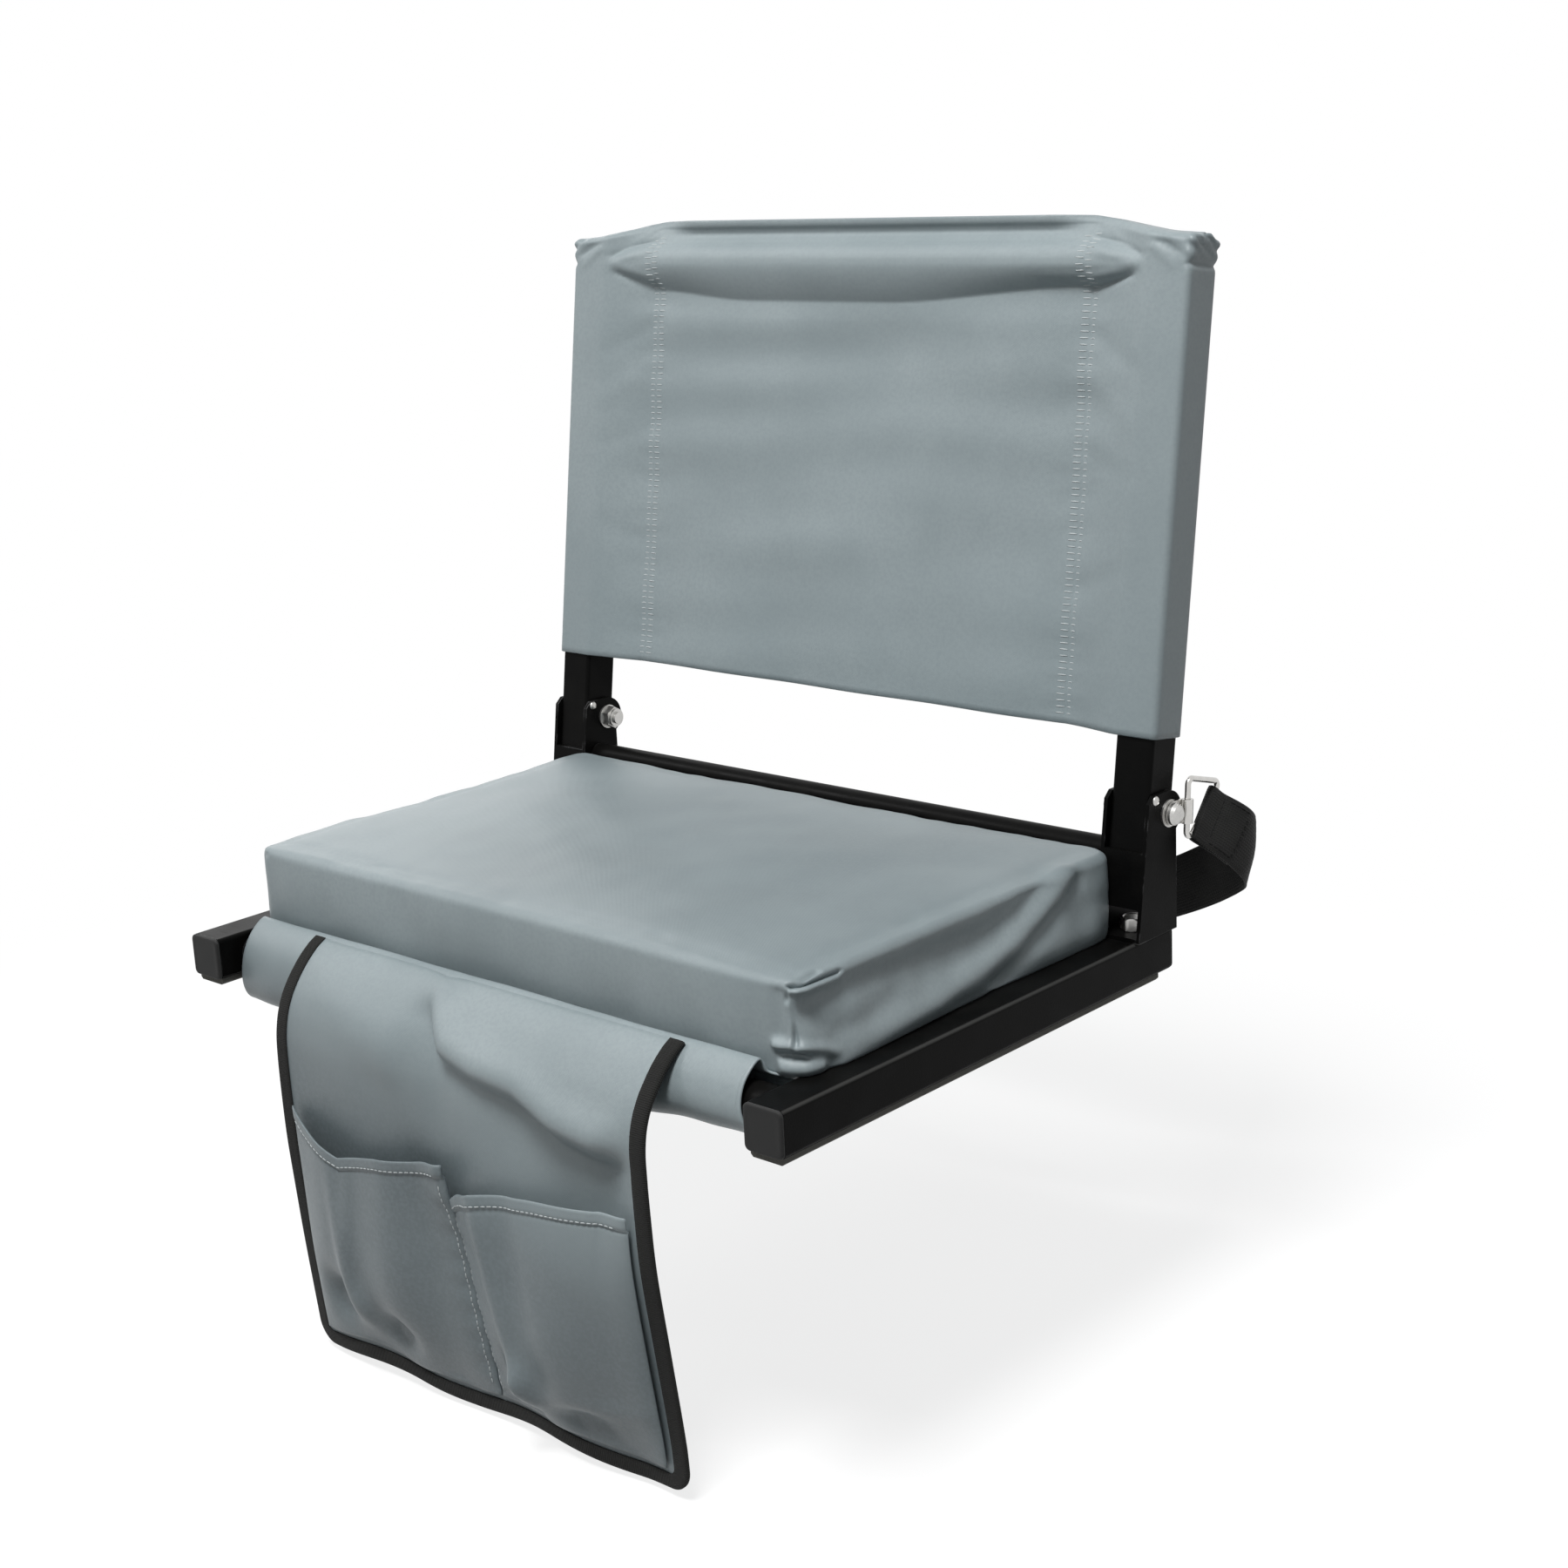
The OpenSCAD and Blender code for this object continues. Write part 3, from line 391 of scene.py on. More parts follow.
def loft(rings):
    """Points and faces of closed rings of equal length joined in order, with closed ends."""
    count = len(rings[0])
    points = [p for ring in rings for p in ring]
    faces = []
    for i in range(len(rings) - 1):
        for j in range(count):
            k = (j + 1) % count
            a, b = i * count, (i + 1) * count
            faces.append((a + j, a + k, b + k, b + j))
    last = (len(rings) - 1) * count
    faces.append(tuple(reversed(range(count))))
    faces.append(tuple(range(last, last + count)))
    return points, faces


plastic = Paint("cap_plastic", {"Specular IOR Level": 0.18})
plastic_place = plastic.place()
plastic_cloud = plastic.noise(plastic_place, 60.0, 3.0)
plastic_grain = plastic.noise(plastic_place, 1600.0, 2.0)
plastic_rub = plastic.worn(0.0012, 0.02, 0.14)
plastic_grey = plastic.mix(plastic_cloud, (0.017, 0.017, 0.017), (0.028, 0.028, 0.028))
plastic.show(
    Base_Color=plastic.mix(plastic_rub * 0.5, plastic_grey, (0.085, 0.085, 0.085)),
    Roughness=0.52 + 0.16 * plastic_cloud,
)
plastic.bump(plastic_grain, 0.00006, 0.7)


def rail_cap(name, end):
    """One moulded cap. end is -1 at the front and 1 at the rear."""
    low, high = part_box(name)
    cx = (low[0] + high[0]) / 2
    cz = (low[2] + high[2]) / 2
    face_y = low[1] if end < 0 else high[1]
    seat_y = face_y - end * cap_depth
    rings = []
    for out, half in cap_rings:
        ring = rounded_square(half * MM, min(cap_corner, half * MM * 0.6))
        rings.append([(cx + end * x, seat_y + end * out * MM, cz + z) for x, z in reversed(ring)])
    points, faces = loft(rings)
    cap = make_object(name + "_moulding", points, faces, plastic.material, sharp=50)
    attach(cap, "base")
    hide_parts(name)


for cap_name, cap_end in (
    ("left_front_cap", -1), ("right_front_cap", -1), ("left_rear_cap", 1), ("right_rear_cap", 1),
):
    rail_cap(cap_name, cap_end)
dress(plastic, "top_plugs", "heel_plugs")


# Foot strips
# Flat black rubber strips under the rails that keep the seat from sliding on a bench. They are
# riveted on.
rubber = Paint("strip_rubber", {"Specular IOR Level": 0.25})
rubber_place = rubber.place()
rubber_cloud = rubber.noise(rubber_place, 45.0, 4.0)
rubber_ribs = (rubber.parts(rubber_place)[0] * 2600.0).sine()
rubber.show(
    Base_Color=rubber.mix(rubber_cloud, (0.115, 0.113, 0.102), (0.165, 0.161, 0.146)),
    Roughness=0.66 + 0.2 * rubber_cloud,
)
rubber.bump(rubber_ribs + 2.0 * rubber.noise(rubber_place, 700.0), 0.0001, 0.6)
dress(rubber, "left_foot_strip", "right_foot_strip")


# Bolts, nuts, washers and rivets
# Zinc-plated steel. The bracket bolts have chamfered hexagon heads with a washer face, the pivot
# bolts keep their packed button heads, and small domed rivets stop the brackets.
zinc = Paint("zinc_steel", {"Metallic": 1.0, "Specular IOR Level": 0.5})
zinc_place = zinc.place()
zinc_cloud = zinc.noise(zinc_place, 260.0, 3.0)
zinc_lines = zinc.noise(zinc.place((3000.0, 3000.0, 260.0)), 1.0, 2.0)
zinc.show(
    Base_Color=zinc.mix(zinc_cloud, (0.43, 0.43, 0.42), (0.62, 0.61, 0.59)),
    Roughness=0.26 + 0.2 * zinc_cloud,
)
zinc.bump(zinc_lines + zinc_cloud, 0.00005, 0.5)
dress(zinc, "strip_rivets", "bracket_nuts", "pivot_bolts", "pivot_nuts", "pivot_washers")

nickel = Paint("nickel_wire", {"Metallic": 1.0})
nickel_cloud = nickel.noise(nickel.place(), 180.0, 3.0)
nickel.show(
    Base_Color=nickel.mix(nickel_cloud, (0.5, 0.49, 0.47), (0.68, 0.67, 0.65)),
    Roughness=0.16 + 0.16 * nickel_cloud,
)
nickel.bump(nickel_cloud, 0.00004, 0.4)
dress(nickel, "left_ring_clip", "right_ring_clip", "pivot_bushes")

hex_flats = 13.0 * MM
hex_sides = 72
hex_rings = [
    (0.0, 0.2), (0.0, 6.0), (0.5, 6.0), (0.5, 9.0), (0.9, 9.0), (6.6, 9.0), (7.0, 6.75),
    (7.6, 6.3), (7.6, 5.6), (7.25, 5.2), (7.25, 0.3),
]


def hex_ring(z, limit, place):
    """A hexagon cut by a circle of radius limit."""
    ring = []
    for k in range(hex_sides):
        a = 2 * math.pi * k / hex_sides
        off = (a + math.pi / 6) % (math.pi / 3) - math.pi / 6
        r = min(hex_flats / 2 / math.cos(off), limit * MM)
        ring.append((place[0] + r * math.cos(a), place[1] + r * math.sin(a), place[2] + z * MM))
    return ring


bolt_low, bolt_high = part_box("bracket_bolts")
bolt_y = (bolt_low[1] + bolt_high[1]) / 2
bolt_head = 8.0 * MM
bolt_across = 227.5 * MM
shank_rings = 120
bolt_points, bolt_faces = [], []
for bolt_side in (-1, 1):
    bolt_foot = (bolt_side * bolt_across, bolt_y, bolt_high[2] - bolt_head)
    rings = [hex_ring(z, limit, bolt_foot) for z, limit in hex_rings]
    head_points, head_faces = loft(rings)
    shift = len(bolt_points)
    bolt_points += head_points
    bolt_faces += [tuple(i + shift for i in face) for face in head_faces]
    shank = []
    for k in range(shank_rings):
        z = bolt_foot[2] + 0.2 * MM - k * (bolt_foot[2] - bolt_low[2]) / shank_rings
        r = (3.85 + 0.15 * math.cos(k * math.pi / 2)) * MM
        shank.append([
            (bolt_foot[0] + r * math.cos(a), bolt_y + r * math.sin(a), z)
            for a in np.linspace(2 * math.pi, 0, 24, endpoint=False)
        ])
    shank_points, shank_faces = loft(shank)
    shift = len(bolt_points)
    bolt_points += shank_points
    bolt_faces += [tuple(i + shift for i in face) for face in shank_faces]
bolts = make_object("bracket_bolt_heads", bolt_points, bolt_faces, zinc.material, sharp=35)
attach(bolts, "base")
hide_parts("bracket_bolts")


def stamp_tree():
    """A node tree that sets a stamp on every point of a mesh, turned by the attribute turn."""
    tree = bpy.data.node_groups.new("stamps", "GeometryNodeTree")
    sockets = tree.interface
    sockets.new_socket("Points", in_out="INPUT", socket_type="NodeSocketGeometry")
    sockets.new_socket("Stamp", in_out="INPUT", socket_type="NodeSocketObject")
    sockets.new_socket("Finish", in_out="INPUT", socket_type="NodeSocketMaterial")
    sockets.new_socket("Size spread", in_out="INPUT", socket_type="NodeSocketFloat")
    sockets.new_socket("Seed", in_out="INPUT", socket_type="NodeSocketInt")
    sockets.new_socket("Mesh", in_out="OUTPUT", socket_type="NodeSocketGeometry")
    start = tree.nodes.new("NodeGroupInput")
    end = tree.nodes.new("NodeGroupOutput")
    stamp = tree.nodes.new("GeometryNodeObjectInfo")
    turn_by = tree.nodes.new("GeometryNodeInputNamedAttribute")
    turn_by.data_type = "FLOAT_VECTOR"
    turn_by.inputs["Name"].default_value = "turn"
    spread = tree.nodes.new("FunctionNodeRandomValue")
    least = tree.nodes.new("ShaderNodeMath")
    least.operation = "SUBTRACT"
    least.inputs[0].default_value = 1.0
    most = tree.nodes.new("ShaderNodeMath")
    most.operation = "ADD"
    most.inputs[0].default_value = 1.0
    place = tree.nodes.new("GeometryNodeInstanceOnPoints")
    solid = tree.nodes.new("GeometryNodeRealizeInstances")
    finish = tree.nodes.new("GeometryNodeSetMaterial")
    link = tree.links.new
    link(start.outputs["Stamp"], stamp.inputs["Object"])
    link(start.outputs["Size spread"], least.inputs[1])
    link(start.outputs["Size spread"], most.inputs[1])
    link(least.outputs[0], spread.inputs[2])
    link(most.outputs[0], spread.inputs[3])
    link(start.outputs["Seed"], spread.inputs["Seed"])
    link(start.outputs["Points"], place.inputs["Points"])
    link(stamp.outputs["Geometry"], place.inputs["Instance"])
    link(turn_by.outputs[0], place.inputs["Rotation"])
    link(spread.outputs[1], place.inputs["Scale"])
    link(place.outputs[0], solid.inputs[0])
    link(solid.outputs[0], finish.inputs["Geometry"])
    link(start.outputs["Finish"], finish.inputs["Material"])
    link(finish.outputs[0], end.inputs[0])
    return tree


stamps = stamp_tree()


def strew(name, spots, along, outward, stamp, paint, spread, seed, body):
    """Sets a stamp at each spot, its X along and its Z outward, as one plain mesh on a body."""
    mesh = bpy.data.meshes.new(name + "_spots")
    mesh.from_pydata([tuple(p) for p in spots], [], [])
    turns = mesh.attributes.new("turn", "FLOAT_VECTOR", "POINT")
    for k in range(len(spots)):
        x = Vector(along[k]).normalized()
        z = Vector(outward[k])
        z = (z - z.dot(x) * x).normalized()
        y = z.cross(x)
        turns.data[k].vector = Matrix((x, y, z)).transposed().to_euler()
    carrier = bpy.data.objects.new(name + "_spots", mesh)
    bpy.context.collection.objects.link(carrier)
    modifier = carrier.modifiers.new("stamps", "NODES")
    modifier.node_group = stamps
    values = {"Stamp": stamp, "Finish": paint.material, "Size spread": spread, "Seed": seed}
    for item in stamps.interface.items_tree:
        if item.in_out == "INPUT" and item.name in values:
            modifier[item.identifier] = values[item.name]
    bpy.context.view_layer.update()
    graph = bpy.context.evaluated_depsgraph_get()
    plain = bpy.data.meshes.new_from_object(carrier.evaluated_get(graph))
    carrier.modifiers.remove(modifier)
    bpy.data.objects.remove(carrier)
    plain.name = name
    plain.shade_smooth()
    made = bpy.data.objects.new(name, plain)
    bpy.context.collection.objects.link(made)
    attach(made, body)
    return made


def make_stamp(name, rings):
    """A stamp mesh that stays out of the scene and is used only by strew."""
    points, faces = loft(rings)
    mesh = bpy.data.meshes.new(name)
    mesh.from_pydata([tuple(p) for p in points], [], faces)
    mesh.shade_smooth()
    return bpy.data.objects.new(name, mesh)


def round_ring(radius, z, count=20):
    return [
        (radius * math.cos(a), radius * math.sin(a), z)
        for a in np.linspace(0, 2 * math.pi, count, endpoint=False)
    ]


rivet_stamp = make_stamp("rivet_stamp", [
    round_ring(r * MM, z * MM)
    for r, z in ((2.6, -0.6), (2.75, 0.0), (2.7, 0.3), (2.3, 0.85), (1.6, 1.25), (0.8, 1.45), (0.1, 1.5))
])
rivet_y = 148.5 * MM
rivet_z = 109.0 * MM
plate_faces = [(1, 242.75 * MM), (-1, 212.25 * MM), (1, -212.25 * MM), (-1, -242.75 * MM)]
rivets = strew(
    "bracket_rivets",
    [(x, rivet_y, rivet_z) for side, x in plate_faces],
    [(0.0, 1.0, 0.0)] * 4,
    [(side, 0.0, 0.0) for side, x in plate_faces],
    rivet_stamp, zinc, 0.02, 3, "base",
)


# Seat cushion
# A foam slab in a coated grey-blue cloth cover with rolled edges. Its crown takes a share of a
# short blown-cloth simulation, and darts, folds and puckers are pressed into corners and edges.
cushion_low = np.array((-212.5, -131.0, 28.1)) * MM
cushion_high = np.array((212.5, 141.0, 78.1)) * MM
cushion_corner = 11.0 * MM
cushion_edge = 4.8 * MM
cushion_foot_edge = 1.6 * MM
cushion_draw = 1.5 * MM
cushion_crown = 6.0 * MM
blown_share = 0.35
side_spread = 7.0 * MM


def slab(xs, ys, zs):
    """A closed box surface on the given grid lines, with its corners and edges rounded."""
    index = {}
    points = []
    uvs = []

    def vertex(i, j, k):
        if (i, j, k) not in index:
            index[(i, j, k)] = len(points)
            points.append((xs[i], ys[j], zs[k]))
        return index[(i, j, k)]

    faces = []

    def square(a, b, c, d, kind):
        faces.append(tuple(vertex(*v) for v in (a, b, c, d)))
        for i, j, k in (a, b, c, d):
            x, y, z = xs[i], ys[j], zs[k]
            uvs.append((x, y) if kind == 0 else (x, z + 0.5) if kind == 1 else (y + 1.0, z + 0.5))

    nx, ny, nz = len(xs) - 1, len(ys) - 1, len(zs) - 1
    for i in range(nx):
        for j in range(ny):
            square((i, j, nz), (i + 1, j, nz), (i + 1, j + 1, nz), (i, j + 1, nz), 0)
            square((i, j, 0), (i, j + 1, 0), (i + 1, j + 1, 0), (i + 1, j, 0), 0)
        for k in range(nz):
            square((i, 0, k), (i + 1, 0, k), (i + 1, 0, k + 1), (i, 0, k + 1), 1)
            square((i, ny, k), (i, ny, k + 1), (i + 1, ny, k + 1), (i + 1, ny, k), 1)
    for j in range(ny):
        for k in range(nz):
            square((0, j, k), (0, j, k + 1), (0, j + 1, k + 1), (0, j + 1, k), 2)
            square((nx, j, k), (nx, j + 1, k), (nx, j + 1, k + 1), (nx, j, k + 1), 2)
    p = np.array(points)
    middle = (cushion_low + cushion_high) / 2
    half = (cushion_high - cushion_low) / 2
    q = p - middle
    sign = np.sign(q)
    depth = half - np.abs(q)
    e = np.minimum(depth[:, 0], depth[:, 1])
    w = depth[:, 2]
    rounding = np.where(q[:, 2] > 0, cushion_edge, cushion_foot_edge)
    de, dw = rounding - e, rounding - w
    near = (de > 0) & (dw > 0)
    most = np.maximum(de, dw)
    length = np.hypot(de, dw) + 1e-12
    share = np.where(near, most / length, 1.0)
    inward = np.where(near, de * (1 - share), 0.0)
    q[:, 2] = np.where(near, sign[:, 2] * (half[2] - rounding + dw * share), q[:, 2])
    on_x = depth[:, 0] <= depth[:, 1] + 1e-9
    on_y = depth[:, 1] <= depth[:, 0] + 1e-9
    q[:, 0] -= np.where(on_x, sign[:, 0] * inward, 0.0)
    q[:, 1] -= np.where(on_y, sign[:, 1] * inward, 0.0)
    core = half[:2] - cushion_corner
    d = np.abs(q[:, :2]) - core
    both = (d[:, 0] > 0) & (d[:, 1] > 0)
    reach = np.where(both, np.maximum(d[:, 0], d[:, 1]) / (np.hypot(d[:, 0], d[:, 1]) + 1e-12), 1.0)
    for axis in (0, 1):
        moved = np.sign(q[:, axis]) * (core[axis] + d[:, axis] * reach)
        q[:, axis] = np.where(both, moved, q[:, axis])
    sx = np.clip(q[:, 0] / half[0], -1, 1)
    sy = np.clip(q[:, 1] / half[1], -1, 1)
    q[:, 0] -= sx * cushion_draw * (1 - sy ** 2) * np.abs(sx) ** 3
    q[:, 1] -= sy * cushion_draw * (1 - sx ** 2) * np.abs(sy) ** 3
    return q + middle, faces, uvs


def even(low, high, step):
    return np.linspace(low, high, max(2, int(round((high - low) / step)) + 1))


def smooth_step(value, low, high):
    t = np.clip((value - low) / (high - low), 0, 1)
    return t * t * (3 - 2 * t)


def waves(points, seed, wavelength, count=14):
    """A smooth random height at each point, about -1 to 1, from a fixed seed."""
    draws = np.random.default_rng(seed)
    total = np.zeros(len(points))
    for k in range(count):
        direction = draws.normal(size=3)
        direction /= np.linalg.norm(direction)
        stretch = wavelength * draws.uniform(0.6, 1.6)
        phase = draws.uniform(0, 2 * math.pi)
        total += np.sin(points @ direction * (2 * math.pi / stretch) + phase)
    return total / math.sqrt(count)


def blown_cushion():
    """Simulated rest points and moved points of a coarse slab."""
    steps = (5.5, 5.5, 5.0)
    coarse = [even(cushion_low[k], cushion_high[k], steps[k] * MM) for k in range(3)]
    points, faces, uvs = slab(*coarse)
    mesh = bpy.data.meshes.new("cushion_coarse")
    mesh.from_pydata(points.tolist(), [], faces)
    coarse_cushion = bpy.data.objects.new("cushion_coarse", mesh)
    bpy.context.collection.objects.link(coarse_cushion)
    modifier = coarse_cushion.modifiers.new("cloth", "CLOTH")
    cloth_settings = modifier.settings
    cloth_settings.quality = 6
    cloth_settings.mass = 0.35
    cloth_settings.tension_stiffness = 22
    cloth_settings.compression_stiffness = 22
    cloth_settings.shear_stiffness = 8
    cloth_settings.bending_stiffness = 1.2
    cloth_settings.use_pressure = True
    cloth_settings.uniform_pressure_force = 4.0
    cloth_settings.effector_weights.gravity = 0.0
    modifier.collision_settings.use_collision = False
    modifier.collision_settings.use_self_collision = False
    modifier.point_cache.frame_start = 1
    modifier.point_cache.frame_end = 21
    scene = bpy.context.scene
    for step in range(1, 21):
        scene.frame_set(step)
    graph = bpy.context.evaluated_depsgraph_get()
    moved = np.array([v.co for v in coarse_cushion.evaluated_get(graph).data.vertices])
    scene.frame_set(1)
    bpy.data.objects.remove(coarse_cushion)
    return points, moved - points


def press(points, normals, route, width, depth):
    """Moves points inward by depth along a groove, or outward where depth is negative."""
    route = np.array(route) * MM
    nearest = np.full(len(points), 1e9)
    for a, b in zip(route[:-1], route[1:]):
        run = b - a
        t = np.clip(((points - a) @ run) / (run @ run), 0, 1)
        away = np.linalg.norm(points - a - t[:, None] * run, axis=1)
        nearest = np.minimum(nearest, away)
    return points - normals * (depth * MM * np.exp(-(nearest / (width * MM)) ** 2))[:, None]


def vertex_normals(points, faces):
    quads = np.array(faces)
    across = points[quads[:, 2]] - points[quads[:, 0]]
    other = points[quads[:, 3]] - points[quads[:, 1]]
    flat = np.cross(across, other)
    total = np.zeros_like(points)
    for k in range(4):
        np.add.at(total, quads[:, k], flat)
    return total / (np.linalg.norm(total, axis=1, keepdims=True) + 1e-15)


def settle(points, faces, limit):
    """Draws a stray point back to the middle of its neighbours."""
    quads = np.array(faces)
    total = np.zeros_like(points)
    count = np.zeros(len(points))
    for k in range(4):
        np.add.at(total, quads[:, k], points[quads[:, (k + 1) % 4]] + points[quads[:, (k + 3) % 4]])
        np.add.at(count, quads[:, k], 2)
    middle = total / count[:, None]
    stray = np.linalg.norm(points - middle, axis=1) > limit
    return np.where(stray[:, None], middle, points)


cushion_xs = np.concatenate([
    even(cushion_low[0], cushion_low[0] + 0.02, 0.002)[:-1],
    even(cushion_low[0] + 0.02, cushion_high[0] - 0.03, 0.004)[:-1],
    even(cushion_high[0] - 0.03, cushion_high[0], 0.0011),
])
cushion_ys = np.concatenate([
    even(cushion_low[1], cushion_low[1] + 0.04, 0.0011)[:-1],
    even(cushion_low[1] + 0.04, cushion_high[1] - 0.02, 0.004)[:-1],
    even(cushion_high[1] - 0.02, cushion_high[1], 0.002),
])
cushion_zs = even(cushion_low[2], cushion_high[2], 0.0012)
cushion_points, cushion_faces, cushion_uvs = slab(cushion_xs, cushion_ys, cushion_zs)
cushion_middle = (cushion_low + cushion_high) / 2
cushion_half = (cushion_high - cushion_low) / 2
local = (cushion_points - cushion_middle) / cushion_half
swell = np.zeros_like(cushion_points)
top_share = smooth_step(local[:, 2], 0.2, 0.9)
plan = (1 - np.abs(local[:, 0]) ** 3.2) * (1 - np.abs(local[:, 1]) ** 3.2)
swell[:, 2] = cushion_crown * top_share * plan
swell[:, 1] = np.sign(local[:, 1]) * 0.0016 * smooth_step(np.abs(local[:, 1]), 0.9, 1.0)
swell[:, 1] *= (1 - local[:, 2] ** 2) * (1 - np.abs(local[:, 0]) ** 6)
swell[:, 0] = np.sign(local[:, 0]) * 0.0022 * smooth_step(np.abs(local[:, 0]), 0.93, 1.0)
swell[:, 0] *= (1 - local[:, 2] ** 2) * (1 - np.abs(local[:, 1]) ** 6)
coarse_points, coarse_swell = blown_cushion()
tree = kdtree.KDTree(len(coarse_points))
for k, p in enumerate(coarse_points):
    tree.insert(p, k)
tree.balance()
blown = np.zeros_like(cushion_points)
for k, p in enumerate(cushion_points):
    found = tree.find_n(p, 7)
    weights = np.array([math.exp(-(row[2] / 0.0042) ** 2) + 1e-9 for row in found])
    near_swell = coarse_swell[[row[1] for row in found]]
    blown[k] = (near_swell * weights[:, None]).sum(axis=0) / weights.sum()
blown[:, 2] = np.where(local[:, 2] > 0, np.clip(blown[:, 2], -cushion_crown, cushion_crown), 0.0)
blown[:, :2] = np.clip(blown[:, :2], -0.0028, 0.0028)
rim = 1 - np.max(np.abs(local[:, :2]), axis=1)
share = blown_share * (1 - 0.75 * np.exp(-(rim / 0.1) ** 2))
swell = swell + share[:, None] * (blown - swell)
cushion_points = cushion_points + swell

# The sides stand out over the rails near the foot, most in the middle of their length
low_share = smooth_step(-cushion_points[:, 2], -0.056, -0.036)
over_rail = (1 - np.clip(np.abs(local[:, 1]), 0, 1) ** 7) * low_share * 3.5 * MM
at_side = smooth_step(np.abs(local[:, 0]), 0.9, 1.0)
cushion_points[:, 0] += np.sign(local[:, 0]) * over_rail * at_side
cushion_normals = vertex_normals(cushion_points, cushion_faces)

# Where the cover is folded and pulled, with each fold's width and depth in millimetres
fold_routes = [
    ([(213, -121, 63), (213, -84, 65), (213, -25, 62), (213, 18, 61), (213, 50, 65), (213, 74, 73)],
     9.0, 4.4),
    ([(214, -101, 30), (214, -72, 33), (216, -27, 38), (216, 17, 45), (214, 50, 53), (213, 76, 64),
      (212, 98, 75)], 8.0, -3.4),
    ([(215, 24, 34), (214, 45, 40), (213, 67, 49), (212, 93, 62), (212, 104, 70)], 6.5, 2.6),
    ([(212, 118, 37), (212, 123, 60)], 9.0, -1.4),
    ([(213, -119, 60), (213, -106, 47), (213, -82, 45), (213, -58, 50)], 7.0, 1.5),
    ([(206.5, -129.0, 76.5), (210, -123, 76.4), (211.6, -112, 76.0), (212, -96, 75.4)], 1.8, 5.6),
    ([(209, -130, 73), (211.5, -125, 72.8), (213, -112, 72.0), (213, -98, 70.5)], 2.5, -3.4),
    ([(203.5, -129.5, 68.0), (205.0, -128.0, 74.5), (207.0, -119.0, 77.5), (206.5, -108, 79)], 1.6, 2.4),
    ([(207.8, -129.8, 70.0), (208.8, -129.0, 58.0), (208.9, -129.0, 46.0)], 1.4, 3.2),
    ([(206.3, -130.6, 70.0), (207.3, -130.2, 58.0), (206.8, -130.4, 46.0)], 1.6, -1.6),
    ([(199.0, -131.0, 70.0), (199.5, -131.0, 50.0)], 5.0, 1.8),
    ([(198, -131, 44.5), (205, -131, 45.0), (210.5, -127.5, 44.5), (212.5, -116, 41), (213, -106, 36)],
     2.8, -3.2),
    ([(201, -131, 39.0), (207, -131, 39.5), (211.0, -126.5, 39), (212.5, -114, 36), (213, -107, 33)],
     1.7, 3.4),
    ([(203, -131, 33), (211, -128, 32.5), (212.5, -118, 32.5)], 4.5, -3.2),
    ([(-203.0, -130.5, 74.0), (-206.5, -128.0, 74.0), (-209.5, -118.0, 75.0), (-210.0, -106.0, 75.5)],
     1.6, 1.3),
    ([(-206.5, -129.5, 72.0), (-207.5, -129.0, 58.0), (-207.0, -129.5, 40.0)], 1.5, 1.0),
    ([(-213, -118, 72), (-213, -84, 65), (-213, 0, 62), (-213, 74, 72)], 9.0, 1.6),
    ([(-205.0, 138.5, 73.0), (-207.5, 136.5, 60.0), (-207.0, 137.5, 40.0)], 2.2, 0.9),
    ([(205.0, 138.5, 73.0), (207.5, 136.5, 60.0), (207.0, 137.5, 40.0)], 2.2, 0.9),
]
for route, width, depth in fold_routes:
    cushion_points = press(cushion_points, cushion_normals, route, width, depth)

spread = smooth_step(cushion_points[:, 0], 0.1, 0.2125) * side_spread
spread -= smooth_step(-cushion_points[:, 0], 0.1, 0.2125) * side_spread
cushion_points[:, 0] += spread
rest_on = 29.25 * MM
past_rail = smooth_step(np.abs(cushion_points[:, 0]), 0.2125, 0.2155)
cushion_points[:, 2] = np.maximum(cushion_points[:, 2], rest_on * past_rail)

# The rear corners stop in front of the leaning front faces of the brackets
bracket_face = 130.0 * MM + 0.15 * (cushion_points[:, 2] - 29.0 * MM)
at_bracket = smooth_step(np.abs(cushion_points[:, 0]), 0.2095, 0.2120)
cushion_points[:, 1] -= np.maximum(cushion_points[:, 1] - bracket_face, 0) * at_bracket

edge_gap = np.minimum(
    cushion_half[0] - np.abs(cushion_points[:, 0] - spread - cushion_middle[0]),
    cushion_half[1] - np.abs(cushion_points[:, 1] - cushion_middle[1]),
)
flat_points = cushion_points * np.array((1.0, 1.0, 0.35))
pucker = waves(flat_points, 11, 0.026) * np.exp(-(np.maximum(edge_gap, 0) / 0.016) ** 2) * 0.00028
ripple = waves(cushion_points, 12, 0.095) * 0.00075 + waves(cushion_points, 13, 0.04) * 0.0002
rolled = np.exp(-((edge_gap - 0.014) / 0.0045) ** 2) * 0.0006 * (local[:, 2] > 0.9)
free = smooth_step(local[:, 2], -1.0, -0.8)
cushion_points = cushion_points + cushion_normals * ((pucker + ripple - rolled) * free)[:, None]
stray_limit = 5.0 * MM
cushion_points = settle(cushion_points, cushion_faces, stray_limit)

